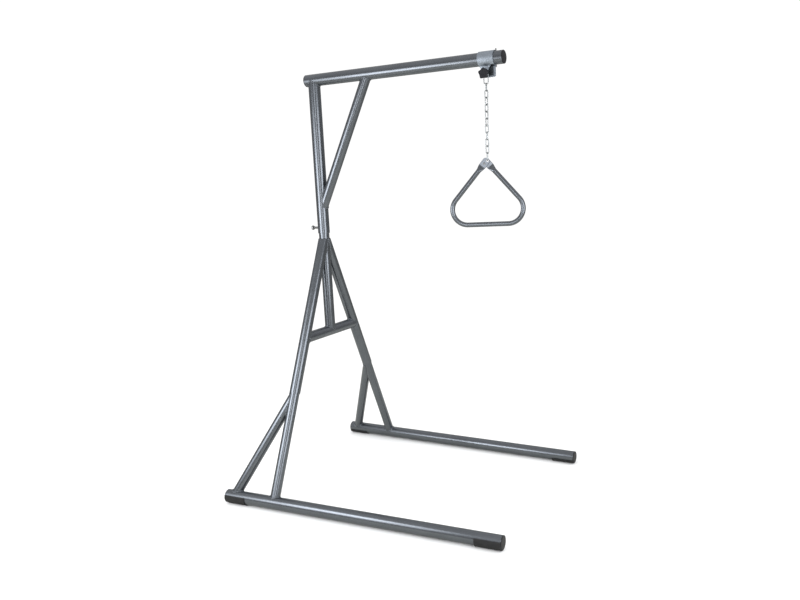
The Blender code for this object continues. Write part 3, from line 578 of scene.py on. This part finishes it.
# Welds: one bead along each seam, rippled as it was laid
weld = {"inputs": {"Bead Radius": 0.0031, "Ripple Pitch": 0.0040, "Ripple Depth": 0.22, "Wander": 0.80,
        "Seed": 7.0},
    "stepsPerRipple": 5.0, "ripplePower": 1.6, "fullness": 1.05, "wanderFineness": 220.0, "sides": 12}


def makeWeldTree():
    tree, start = geometryTree("weldBead", weld["inputs"])
    curve = addNode(tree, "GeometryNodeMeshToCurve", {"Mesh": start["Geometry"]})["Curve"]
    step = addMath(tree, "DIVIDE", start["Ripple Pitch"], weld["stepsPerRipple"])
    fine = addNode(tree, "GeometryNodeResampleCurve", {"Curve": curve, "Length": step}, mode="LENGTH")
    run = addNode(tree, "GeometryNodeSplineParameter")["Length"]
    ripple = addMath(tree, "FRACT", addMath(tree, "DIVIDE", run, start["Ripple Pitch"]))
    ripple = addMath(tree, "POWER", ripple, weld["ripplePower"])
    ripple = addMath(tree, "MULTIPLY", ripple, start["Ripple Depth"])
    noise = addNode(tree, "ShaderNodeTexNoise", {"W": start["Seed"], "Scale": weld["wanderFineness"],
            "Detail": 2.0}, noise_dimensions="4D")["Fac"]
    wander = addMath(tree, "MULTIPLY", addMath(tree, "SUBTRACT", noise, 0.5), start["Wander"])
    swell = addMath(tree, "ADD", addMath(tree, "SUBTRACT", weld["fullness"], ripple), wander)
    return endTree(tree, start, fine["Curve"], start["Bead Radius"], weld["sides"], swell)


def seamMesh(name, seams):
    mesh = bpy.data.meshes.new(name)
    points, edges = [], []
    for seam in seams:
        index = {}
        for i, point in enumerate(seam):
            if point is not None:
                index[i] = len(points)
                points.append(point)
        for i in index:
            following = (i + 1) % len(seam)
            if following in index:
                edges.append((index[i], index[following]))
    mesh.from_pydata(points, edges, [])
    return mesh


weldTree = makeWeldTree()
for name, seams, body in (("baseWelds", baseSeams, "base"), ("mastWelds", mastSeams, "mast")):
    beads = throughTree(weldTree, weld["inputs"], paint, mesh=seamMesh(body + "Seams", seams))
    addPiece(name, beads, body, paint)
print("welds laid")

# Screw threads, as a ridge that winds round a shank. Ridge and root are shares of the pitch.
thread = {"inputs": {"Radius": 0.005, "Length": 0.02, "Pitch": 0.0015, "Ridge": 0.0006},
    "ridge": 0.32, "root": 0.45, "stepsPerTurn": 28, "sides": 6}


def makeThreadTree():
    tree, start = geometryTree("screwThread", thread["inputs"])
    coils = addMath(tree, "DIVIDE", start["Length"], start["Pitch"])
    helix = addNode(tree, "GeometryNodeCurveSpiral", {
        "Resolution": thread["stepsPerTurn"], "Rotations": coils, "Height": start["Length"],
        "Start Radius": start["Radius"], "End Radius": start["Radius"]})
    return endTree(tree, start, helix["Curve"], start["Ridge"], thread["sides"])


threadTree = makeThreadTree()


def threadMesh(radius, length, pitch, matrix):
    ridge = thread["ridge"] * pitch
    return throughTree(threadTree, {"Radius": radius - ridge, "Length": length, "Pitch": pitch,
            "Ridge": ridge}, boltSteel, matrix)


# Hexagon head about +Z from 0 to height, with its corners turned off
def hexRings(flats, height, steps=72):
    inner, sixth = flats / 2 * 0.96, pi / 3
    hexR = [flats / 2 / cos((a + sixth / 2) % sixth - sixth / 2) for a in turns(steps)]
    drop = [(r - inner) * tan(radians(30)) for r in hexR]
    flat = [inner] * steps
    return [[polar(r, a, z) for r, a, z in zip(radii, turns(steps), heights)]
        for radii, heights in ((flat, [0] * steps), (hexR, drop), (hexR, [height - d for d in drop]),
            (flat, [height] * steps))]


def makeSetBolt():
    s, shank = setBolt, setBolt["shank"]
    outwards = axisMatrix(boltTip, (-1, 0, 0))
    coreR = s["r"] - thread["root"] * s["pitch"]
    core = turnedMesh("core", [(0, 0), (coreR, s["point"]), (coreR, shank), (0, shank)], outwards)
    head = ringMesh("head", hexRings(s["flats"], s["head"]), outwards @ upBy(shank), angle=20,
        poles=[Vector((0, 0, height)) for height in (0, s["head"] - s["dish"])])
    ridge = threadMesh(s["r"], shank - 2 * s["plain"], s["pitch"], outwards @ upBy(s["plain"]))
    addPiece("setBolt", joined("setBolt", core, head, ridge), "set_bolt", boltSteel, "set_bolt")


def makeStopPin():
    half, edge, r = pinReach.z, stopPin["edge"], stopPin["r"]
    profile = [(0, half), (r - edge, half), (r, half - edge)]
    profile += [(radius, -height) for radius, height in reversed(profile)]
    addPiece("stopPin", turnedMesh("stopPin", profile, Matrix.Translation(pinMiddle), 40), "mast",
        boltSteel, "stop_pin")


makeSetBolt()
makeStopPin()
print("set bolt and stop pin made")

# End plugs, with a soft rim and a face that is a little crowned
plug = {"flange": 0.003, "rim": 0.0015, "crown": 0.0006, "crownSteps": (0.3, 0.55, 0.75), "crownFall": 0.9,
    "depth": 0.022, "edge": 0.0003, "stubEdge": 0.001}


def plugPiece(name, tubeEnd, outwards, body, node):
    r, stubR, edge = mainR, mainR - size["mainWall"] - gap, plug["edge"]
    flange, crown, rim, depth = plug["flange"], plug["crown"], plug["rim"], plug["depth"]
    profile = [(0, flange), *((r * share, flange - crown * share ** 2 * plug["crownFall"])
            for share in plug["crownSteps"])]
    profile += arc((r - rim, flange - crown - rim), rim, radians(80), 0, 6)
    profile += [(r, edge), (r - edge, 0), (stubR, 0), (stubR, -depth + plug["stubEdge"]),
        (stubR - plug["stubEdge"], -depth), (0, -depth)]
    seat = axisMatrix(tubeEnd + outwards * gap, outwards)
    addPiece(name, turnedMesh(name, profile, seat, 80, 50), body, blackPlastic, node)


# Pads: half shells under the floor tubes, with rounded edges
pad = {"length": 0.100, "edge": 0.0009, "steps": 48}


def padPiece(name, tube, start, node, outwards):
    inner = tube.radius + gap
    outer = inner + size["padWall"]
    across = tube.along.cross(outwards).normalized()
    down = across.cross(tube.along).normalized()
    if down.dot(outwards) < 0:
        down = -down
    edge, length, corner = pad["edge"], pad["length"], 0.3 * pad["edge"]
    profile = [(inner + edge, 0), (outer - edge, 0), (outer - corner, corner), (outer, edge)]
    profile += [(r, length - t) for r, t in reversed(profile)] + [(inner, length - edge), (inner, edge)]
    middle = tube.point(0, 0, start)
    rays = [down * cos(a) + across * sin(a)
        for a in (-pi / 2 + pi * i / pad["steps"] for i in range(pad["steps"] + 1))]
    rings = [[middle + ray * r + tube.along * t for r, t in profile] for ray in rays]
    addPiece(name, ringMesh(name, rings, caps=True, angle=40), "base", blackRubber, node)


for side in ("left", "right"):
    tube = tubes["floor", side]
    padDown = -tubes["leg", side].along
    for end, along, where, padStart in (("rear", -tube.along, tube.start, 0),
            ("front", tube.along, tube.start + tube.line, tube.length - pad["length"])):
        plugPiece(f"{end}Plug{side.title()}", where, along, "base", f"floor_plug_{end}_{side}")
        padPiece(f"{end}Pad{side.title()}", tube, padStart, f"floor_pad_{end}_{side}", padDown)
plugPiece("boomPlugRear", boom.start, Vector((-1, 0, 0)), "mast", "boom_plug_rear")
plugPiece("boomPlugFront", boom.start + boom.line, Vector((1, 0, 0)), "mast", "boom_plug_front")
print("plugs and pads made")

# The clamp's strap: a band round the boom, a tongue on the right and a lipped ear on the left
strap = {"earBend": 0.0045, "earBottom": 0.0687, "lipBend": 0.0035, "lipEdge": 0.0035, "corner": 0.008,
    "inset": 0.003, "insetTop": 0.033, "tongueTop": 0.024, "neck": 0.038, "wide": 0.050,
    "narrow": 0.030, "tipR": 0.0125, "neckSquare": 0.0084, "edge": 0.0004, "edgeAngle": 50,
    "rightCut": (-0.017, -0.003), "leftCut": (0.0018, 0.0158), "boltCut": 0.014}
squareCorners = ((-1, -1), (1, -1), (1, 1), (-1, 1))


def strapSection():
    s = strap
    bandR = mainR + gap + sheet / 2
    earY = (size["earSpace"] + sheet) / 2
    bendY = earY + s["earBend"]
    bendZ = -sqrt((bandR + s["earBend"]) ** 2 - bendY ** 2)
    meet = atan2(-bendZ, bendY)
    lipZ = -s["earBottom"] + sheet / 2
    return [(-earY, -s["earBottom"]), *arc((-bendY, bendZ), s["earBend"], 0, meet, 8),
        *arc((0, 0), bandR, pi + meet, -meet, 96)[1:-1],
        *arc((bendY, bendZ), s["earBend"], pi - meet, pi, 8),
        *arc((earY - s["lipBend"], lipZ + s["lipBend"]), s["lipBend"], 0, -pi / 2, 8), (s["lipEdge"], lipZ)]


# A flat cutter whose outline is seen from the right, pulled through in Y
def outlineCutter(outline, reach):
    rings = [[boomMiddle + Vector((x, y, z)) for x, z in outline] for y in reach]
    return ringMesh("outline", rings, caps=True)


def makeStrap():
    s, half, back = strap, size["clampWidth"] / 2, size["boltBack"]
    columns = [[boomMiddle + Vector((x, y, z)) for y, z in strapSection()] for x in (-half, half)]
    past, deep = size["clampWidth"], s["earBottom"] + size["clampWidth"]
    wide, narrow, top = s["wide"] / 2, s["narrow"] / 2, -s["tongueTop"]
    waste = [(-past, top), (-back - wide, top), (-back - narrow, -s["neck"]),
        *arc((-back, -size["boltDrop"]), s["tipR"], pi, 2 * pi, 24),
        (-back + narrow, -s["neck"]), (-back + wide, top), (past, top), (past, -deep), (-past, -deep)]
    cutters = [outlineCutter(waste, s["rightCut"])]
    for sign in (1, -1):
        edgeX = half - s["inset"]
        centre = (sign * (edgeX - s["corner"]), -s["earBottom"] + s["corner"])
        corner = [(sign * past, -s["insetTop"]), (sign * edgeX, -s["insetTop"]),
            *arc(centre, s["corner"], 0 if sign > 0 else -pi, -pi / 2, 14),
            (centre[0], -deep), (sign * past, -deep)]
        cutters.append(outlineCutter(corner, s["leftCut"]))
    cutters.append(cylinderMesh(boltPlace, boltPlace - Vector((0, s["boltCut"], 0)), boltR + gap))
    reach, offset = s["neckSquare"] / 2 + gap, boltPlace - boomMiddle
    square = [(offset.x + x * reach, offset.z + z * reach) for x, z in squareCorners]
    cutters.append(outlineCutter(square, (0.0, s["boltCut"])))
    return worked(ringMesh("strap", columns, wrap=False), cutters, sheet, s["edge"], s["edgeAngle"])


addPiece("clampStrap", makeStrap(), "clamp", zincSheet, "clamp_strap")

# Carriage bolt, washer and knob, all about the bolt's axis, which points to the right
bolt = {"inKnob": 0.011, "headR": 0.0095, "headRise": 0.0045, "headEdge": 0.0004, "pitch": 0.00125,
    "plainEnd": 0.002, "step": 0.0006, "runOut": 0.001}
washer = {"r": 0.009, "edge": 0.0002}
boltMatrix = Matrix.Translation(boltPlace) @ facingRight
earOut = size["earSpace"] / 2 + sheet
washerIn = earOut + gap
washerOut = washerIn + size["washer"]


def makeCarriageBolt():
    s, r = bolt, boltR
    shankEnd, underHead = washerOut + gap + s["inKnob"], -earOut - gap
    sphereR, half = domeSphere(s["headR"], s["headRise"])
    dome = arc((0, underHead - s["headRise"] + sphereR), sphereR, half - pi / 2, -pi / 2, 10)
    coreR = r - thread["root"] * s["pitch"]
    profile = [(0, shankEnd), (coreR, shankEnd - s["headEdge"]), (coreR, s["plainEnd"]),
        (r, s["plainEnd"] - s["step"]), (r, underHead), (s["headR"] - s["headEdge"], underHead),
        *dome[:-1], (0, dome[-1][1])]
    reach = strap["neckSquare"] / 2
    heights = underHead, underHead + sheet + gap
    neck = ringMesh("neck", [[Vector((x * reach, y * reach, z)) for x, y in squareCorners] for z in heights],
        boltMatrix, poles=[Vector((0, 0, z)) for z in heights])
    ridge = threadMesh(r, shankEnd - s["plainEnd"] - s["runOut"], s["pitch"],
        boltMatrix @ upBy(s["plainEnd"]))
    whole = joined("carriageBolt", turnedMesh("bolt", profile, boltMatrix, 48), neck, ridge)
    addPiece("carriageBolt", whole, "clamp", boltSteel, "carriage_bolt")


def makeWasher():
    r, holeR, edge = washer["r"], boltR + gap, washer["edge"]
    half = [(holeR, edge), (holeR + edge, 0), (r - edge, 0), (r, edge)]
    profile = [(x, washerIn + t) for x, t in half] + [(x, washerOut - t) for x, t in reversed(half)]
    addPiece("washerRing", turnedMesh("washer", profile, boltMatrix, 56), "washer", zincSheet, "washer")


makeCarriageBolt()
makeWasher()

# The knob's "dish" is the round recess in its face, as (radius, depth)
knob = {"r": 0.0220, "thick": 0.0085, "hub": 0.0075, "hubFoot": 0.0110, "hubTop": 0.0165, "hubEdge": 0.0006,
    "corners": 5, "cornerR": 0.003, "hollow": 0.0012, "edge": 0.0016, "boreEnd": 0.002,
    "boreEdge": 0.0004, "dish": ((0.0115, 0.0001), (0.0112, 0.0005), (0.0060, 0.0006)),
    "perCorner": 18}


# How far out the knob's side is at an angle, with soft corners and slightly hollow sides
def knobReach(angle, inset):
    turn = 2 * pi / knob["corners"]
    off = (angle - pi / 2 + turn / 2) % turn - turn / 2
    reach = knob["r"] - knob["cornerR"]
    flat = reach * cos(turn / 2) + knob["cornerR"]
    toFlat = turn / 2 - abs(off)
    side = (flat - inset - knob["hollow"] * cos(toFlat * 1.9) ** 6) / cos(toFlat)
    tip = knob["cornerR"] - inset
    root = tip * tip - (reach * sin(off)) ** 2
    return min(side, reach * cos(off) + sqrt(root)) if root > 0 else side


def makeKnob():
    s = knob
    seat = washerOut + gap
    under = seat + s["hub"]
    face = under + s["thick"]
    angles = turns(s["corners"] * s["perCorner"], pi / 2)

    def circle(radius, height):
        return [polar(radius, a, height) for a in angles]

    def star(inset, height):
        return [polar(knobReach(a, inset), a, height) for a in angles]

    bore, boreTop = boltR + gap, seat + bolt["inKnob"] + s["boreEnd"]
    edge, hubEdge = s["edge"], s["hubEdge"]
    rings = [circle(bore, boreTop), circle(bore, seat + s["boreEdge"]), circle(bore + s["boreEdge"], seat),
        circle(s["hubFoot"] - hubEdge, seat), circle(s["hubFoot"], seat + hubEdge),
        circle(s["hubTop"], under)]
    rings += [star(edge - edge * sin(t), under + edge - edge * cos(t))
        for t in map(radians, (20, 45, 70, 90))]
    rings += [star(edge - edge * cos(t), face - edge + edge * sin(t))
        for t in map(radians, (0, 25, 50, 75, 90))]
    rings += [circle(radius, face - depth) for radius, depth in s["dish"]]
    poles = [Vector((0, 0, height)) for height in (boreTop, face - s["dish"][-1][1])]
    return ringMesh("knob", rings, boltMatrix, poles=poles, angle=38)


addPiece("starKnob", makeKnob(), "knob", blackPlastic, "knob")
print("clamp made")

# Chain: a long top ring, then links that are turned about the chain one after another.
# The visible wire is a little under size, so that links clear each other at the ends of their swing.
chain = {"ringLength": 0.0403, "ringWidth": 0.0214, "pitch": 0.026, "linkWidth": 0.016, "lean": 0.020,
    "turns": (10, 0, -22, -8, -30, -26, -48, -50, -40, -13, 13), "underSize": 0.00004, "seam": 0.10,
    "seamFade": -1.2, "cornerSteps": 16, "steps": 96, "sides": 18,
    "inputs": {"Top": 0.004, "Bottom": -0.026, "End Radius": 0.006, "Wire Radius": 0.002, "Seam": 0.1}}


def makeLinkTree():
    tree, start = geometryTree("wireLink", chain["inputs"])
    top, bottom, endR, wireR = (start[label] for label in ("Top", "Bottom", "End Radius", "Wire Radius"))
    middle = addMath(tree, "MULTIPLY", addMath(tree, "ADD", top, bottom), 0.5)
    outline = addNode(tree, "GeometryNodeCurvePrimitiveQuadrilateral",
        {"Width": addMath(tree, "MULTIPLY", endR, 2.0), "Height": addMath(tree, "SUBTRACT", top, bottom)})
    rounded = addNode(tree, "GeometryNodeFilletCurve",
        {"Curve": outline["Curve"], "Radius": endR, "Count": chain["cornerSteps"],
            "Limit Radius": True}, mode="POLY")
    even = addNode(tree, "GeometryNodeResampleCurve", {"Curve": rounded["Curve"], "Count": chain["steps"]})
    offset = addNode(tree, "ShaderNodeCombineXYZ", {"Z": middle})
    upright = addNode(tree, "GeometryNodeTransform",
        {"Geometry": even["Curve"], "Translation": offset["Vector"], "Rotation": (pi / 2, 0, 0)})
    # The butt weld in the middle of one side stands a little proud
    where = addNode(tree, "GeometryNodeInputPosition")
    parts = addNode(tree, "ShaderNodeSeparateXYZ", {"Vector": where["Position"]})
    away = addMath(tree, "DIVIDE", addMath(tree, "SUBTRACT", parts["Z"], middle), wireR)
    away = addMath(tree, "POWER", addMath(tree, "ABSOLUTE", away), 2.0)
    rise = addMath(tree, "EXPONENT", addMath(tree, "MULTIPLY", away, chain["seamFade"]))
    rise = addMath(tree, "MULTIPLY", rise, addMath(tree, "GREATER_THAN", parts["X"], 0.0))
    rise = addMath(tree, "ADD", addMath(tree, "MULTIPLY", rise, start["Seam"]), 1.0)
    return endTree(tree, start, upright["Geometry"], wireR, chain["sides"], rise, caps=False)


linkTree = makeLinkTree()


def linkPiece(name, node, top, bottom, width, matrix, seam):
    mesh = throughTree(linkTree, {"Top": top, "Bottom": bottom, "End Radius": (width - wire) / 2,
            "Wire Radius": wire / 2 - chain["underSize"], "Seam": seam}, zincChain, matrix)
    addPiece(name, mesh, node, zincChain, node)


drop, turnAbove = boltR - chain["ringLength"] - wire / 2, 0
hang = Matrix.Translation(boltPlace) @ Matrix.Rotation(chain["lean"], 4, "Y")
linkPiece("topRing", "top_ring", boltR + gap + wire / 2, drop, chain["ringWidth"], hang, 0.0)
for number, turn in enumerate(chain["turns"], start=1):
    hang = hang @ upBy(drop) @ Matrix.Rotation(radians(90 + turn - turnAbove), 4, "Z")
    drop, turnAbove = -chain["pitch"], turn
    linkPiece(f"chainLink{number:02d}", f"chain_link_{number:02d}", wire + gap, drop,
        chain["linkWidth"], hang, chain["seam"])
print("chain made")

# Handle: one bent tube whose pressed ends lap under the chain and are riveted
handle = {"od": 0.0190, "apex": 0.0032, "bar": 0.2460, "half": 0.1384, "corner": 0.0594, "turn": 0.30,
    "pressedHalf": 0.014, "pressedThick": 0.003, "flat": 0.022, "blend": 0.028, "squareness": 0.86,
    "holeR": 0.0048, "holeSide": 0.0060, "rivetOut": 0.0103, "rivetR": 0.0024, "rivetHeadR": 0.004,
    "rivetHead": 0.0016, "sides": 40, "bendSteps": 40}


def handleLeg():
    s = handle
    across, down = s["half"] - s["corner"], s["bar"] - s["corner"] - s["apex"]
    reach = hypot(across, down)
    return atan2(down, across) - asin(s["corner"] / reach), sqrt(reach ** 2 - s["corner"] ** 2)


# The tube's middle line as (x, z, heading, distance from the end, side), from the left end to the right
def handlePath():
    s = handle
    slope, legLength = handleLeg()
    tip, corner = s["pressedHalf"], s["corner"]
    runs = [tip * (1 - cos(pi / 2 * i / 14)) for i in range(1, 15)]
    runs += [tip + s["flat"] * i / 3 for i in (1, 2)]
    runs += [tip + s["flat"] + s["blend"] * i / 14 for i in range(15)]
    rest = tip + legLength - runs[-1]
    runs += [runs[-1] + rest * i / 4 for i in (1, 2, 3, 4)]
    half = []
    for distance in runs:
        run = distance - tip
        half.append((run * cos(slope), -s["apex"] - run * sin(slope), -slope, distance))
    sweep = pi - slope
    for step in range(1, s["bendSteps"] + 1):
        heading = -slope - sweep * step / s["bendSteps"]
        half.append((s["half"] - corner - corner * sin(heading), -s["bar"] + corner + corner * cos(heading),
                heading, tip + legLength + corner * sweep))
    left = [(-x, z, pi - heading, distance, -1) for x, z, heading, distance in half]
    return left + [(x, z, heading + pi, distance, 1) for x, z, heading, distance in reversed(half)]


# From a flat plate with round edges at the ends to the round tube
def handleSection(distance, side):
    s, tip, tubeR = handle, handle["pressedHalf"], handle["od"] / 2
    share = min(max((distance - tip - s["flat"]) / s["blend"], 0.0), 1.0)
    pressed = 1 - share * share * (3 - 2 * share)
    halfWidth = sqrt(tip ** 2 - (tip - distance) ** 2) if distance < tip else tip
    wide = pressed * halfWidth + (1 - pressed) * tubeR
    thick = pressed * s["pressedThick"] / 2 + (1 - pressed) * tubeR
    power = 1 - s["squareness"] * pressed
    middle = pressed * side * (s["pressedThick"] + gap) / 2
    turned = [(cos(a), sin(a)) for a in (2 * pi * (i + 0.5) / s["sides"] for i in range(s["sides"]))]
    return [(copysign(abs(c) ** power, c) * wide, middle + copysign(abs(n) ** power, n) * thick)
        for c, n in turned]


turnBack = Matrix.Rotation(handle["turn"] - radians(90 * len(chain["turns"]) + chain["turns"][-1]), 4, "Z")
plumb = (Matrix.Rotation(-handle["turn"], 4, "Z") @ Matrix.Rotation(-chain["lean"], 4, "Y")
    @ Matrix.Rotation(handle["turn"], 4, "Z"))
handlePlace = hang @ upBy(-chain["pitch"]) @ turnBack @ plumb
plateOut = handle["pressedThick"] + gap / 2
slope = handleLeg()[0]
rivetPlace = Vector((-handle["holeSide"] - cos(slope) * handle["rivetOut"], 0,
        -handle["apex"] - sin(slope) * handle["rivetOut"]))


def makeHandle():
    s = handle
    rings = []
    for x, z, heading, distance, side in handlePath():
        rings.append([handlePlace @ Vector((x - s["holeSide"] - across * sin(heading), y,
                        z + across * cos(heading))) for across, y in handleSection(distance, side)])
    poles = [sum(ring, Vector()) / len(ring) for ring in (rings[0], rings[-1])]
    mesh = ringMesh("handle", rings, poles=poles, angle=32)
    linkInner = chain["linkWidth"] / 2 - wire
    rise = linkInner - sqrt(linkInner ** 2 - plateOut ** 2)
    hole = Vector((0, 0, wire / 2 + rise + gap - s["holeR"]))
    reach = Vector((0, 2 * s["od"], 0))
    cutters = [cylinderMesh(handlePlace @ (middle - reach), handlePlace @ (middle + reach), radius)
        for middle, radius in ((hole, s["holeR"]), (rivetPlace, s["rivetR"] + gap))]
    addPiece("handleBar", worked(mesh, cutters), "handle", paint, "handle")


def makeRivet():
    s, face = handle, plateOut + gap
    sphereR, half = domeSphere(s["rivetHeadR"], s["rivetHead"])
    profile = arc((0, face + s["rivetHead"] - sphereR), sphereR, pi / 2, pi / 2 - half, 8)
    profile.append((s["rivetR"], face))
    profile += [(radius, -height) for radius, height in reversed(profile)]
    profile[0], profile[-1] = (0, profile[0][1]), (0, profile[-1][1])
    matrix = handlePlace @ Matrix.Translation(rivetPlace) @ facingRight
    addPiece("handleRivet", turnedMesh("rivet", profile, matrix, 40), "handle", boltSteel, "handle_rivet")


makeHandle()
makeRivet()
print("handle made")

# Floor and world. Both look white, and are darker where metal mirrors them, as in a tented studio.
# A softbox is (x, y, z, width, height, watts).
studio = {"floorR": 14.0, "floor": 0.92, "floorRough": 0.9, "floorMirrored": 0.52, "farFloorMirrored": 0.24,
    "paperTint": 0.93, "paperEnds": (1.4, 3.4),
    "sky": 1.05, "skyLight": 1.20, "wallMirrored": 0.27, "ceilingMirrored": 0.62,
    "wallEnds": (0.05, 0.75),
    "lampTint": (0.95, 0.97, 1.0), "target": (-0.2, 0.0, 0.85),
    "softboxes": ((-1.02, -1.76, 1.12, 1.35, 1.30, 12.5), (-1.00, -1.75, 1.12, 0.75, 0.80, 6.5),
        (2.45, -1.10, 1.18, 1.60, 1.50, 28.0), (0.95, -3.00, 1.30, 0.70, 1.90, 14.0))}


# White to the eye, but mirrored as paper that ends a few metres away in a darker room
def makeFloor():
    s = studio
    shape = bmesh.new()
    bmesh.ops.create_circle(shape, cap_ends=True, segments=96, radius=s["floorR"])
    floor = newObject("floor", meshFrom("floor", shape))
    material, tree, vector = newMaterial("paleFloor")
    away = addNode(tree, "ShaderNodeVectorMath", {0: vector}, operation="LENGTH")["Value"]
    near, far = ((tone, tone, tone * s["paperTint"]) for tone in (s["floorMirrored"], s["farFloorMirrored"]))
    mirrored = addMix(tree, addRange(tree, away, s["paperEnds"]), near, far)
    rays = addNode(tree, "ShaderNodeLightPath")
    setShader(tree, {"Roughness": s["floorRough"], "Specular IOR Level": 0.0,
            "Base Color": addMix(tree, rays["Is Glossy Ray"], (s["floor"],) * 3, mirrored)})
    floor.data.materials.append(material)


def makeWorld():
    s = studio
    scene.world = bpy.data.worlds.new("studio")
    scene.world.use_nodes = True
    tree = scene.world.node_tree
    rays = addNode(tree, "ShaderNodeLightPath")
    lit = addMix(tree, rays["Is Camera Ray"], (s["skyLight"],) * 3, (s["sky"],) * 3)
    direction = addNode(tree, "ShaderNodeTexCoord")["Generated"]
    height = addRange(tree, addNode(tree, "ShaderNodeSeparateXYZ", {"Vector": direction})["Z"], s["wallEnds"])
    room = addMix(tree, height, (s["wallMirrored"],) * 3, (s["ceilingMirrored"],) * 3)
    feed(tree, tree.nodes["Background"], {"Color": addMix(tree, rays["Is Glossy Ray"], lit, room)})


def makeSoftboxes():
    for number, (x, y, z, width, height, power) in enumerate(studio["softboxes"]):
        data = bpy.data.lights.new(f"softbox{number}", "AREA")
        data.shape, data.size, data.size_y = "RECTANGLE", width, height
        data.energy, data.color = power, studio["lampTint"]
        lamp = newObject(f"softbox{number}", data)
        lamp.location = (x, y, z)
        aim = Vector(studio["target"]) - lamp.location
        aim.z = 0.0
        lamp.rotation_mode = "QUATERNION"
        lamp.rotation_quaternion = aim.to_track_quat("-Z", "Y")


# The camera stands where the photograph was taken from
view = {"place": (1.552087, -2.645318, 1.267959), "yaw": 0.46304, "pitch": -0.135712, "roll": -0.043593,
    "lens": 33.05, "sensor": 36.0, "shiftX": -0.0625, "shiftY": -0.01875, "clip": (0.05, 100.0)}


def makeCamera():
    yaw, pitch, roll = view["yaw"], view["pitch"], view["roll"]
    ahead = Vector((-sin(yaw) * cos(pitch), cos(yaw) * cos(pitch), sin(pitch)))
    right = ahead.cross(Vector((0, 0, 1))).normalized()
    up = right.cross(ahead)
    right, up = right * cos(roll) + up * sin(roll), up * cos(roll) - right * sin(roll)
    data = bpy.data.cameras.new("camera")
    data.lens, data.sensor_width = view["lens"], view["sensor"]
    data.shift_x, data.shift_y = view["shiftX"], view["shiftY"]
    data.clip_start, data.clip_end = view["clip"]
    scene.camera = newObject("camera", data)
    turned = Matrix((right, up, -ahead)).transposed().to_4x4()
    scene.camera.matrix_world = Matrix.Translation(view["place"]) @ turned


makeFloor()
makeWorld()
makeSoftboxes()
makeCamera()
scene.view_settings.view_transform = "Standard"
print("studio and camera set")
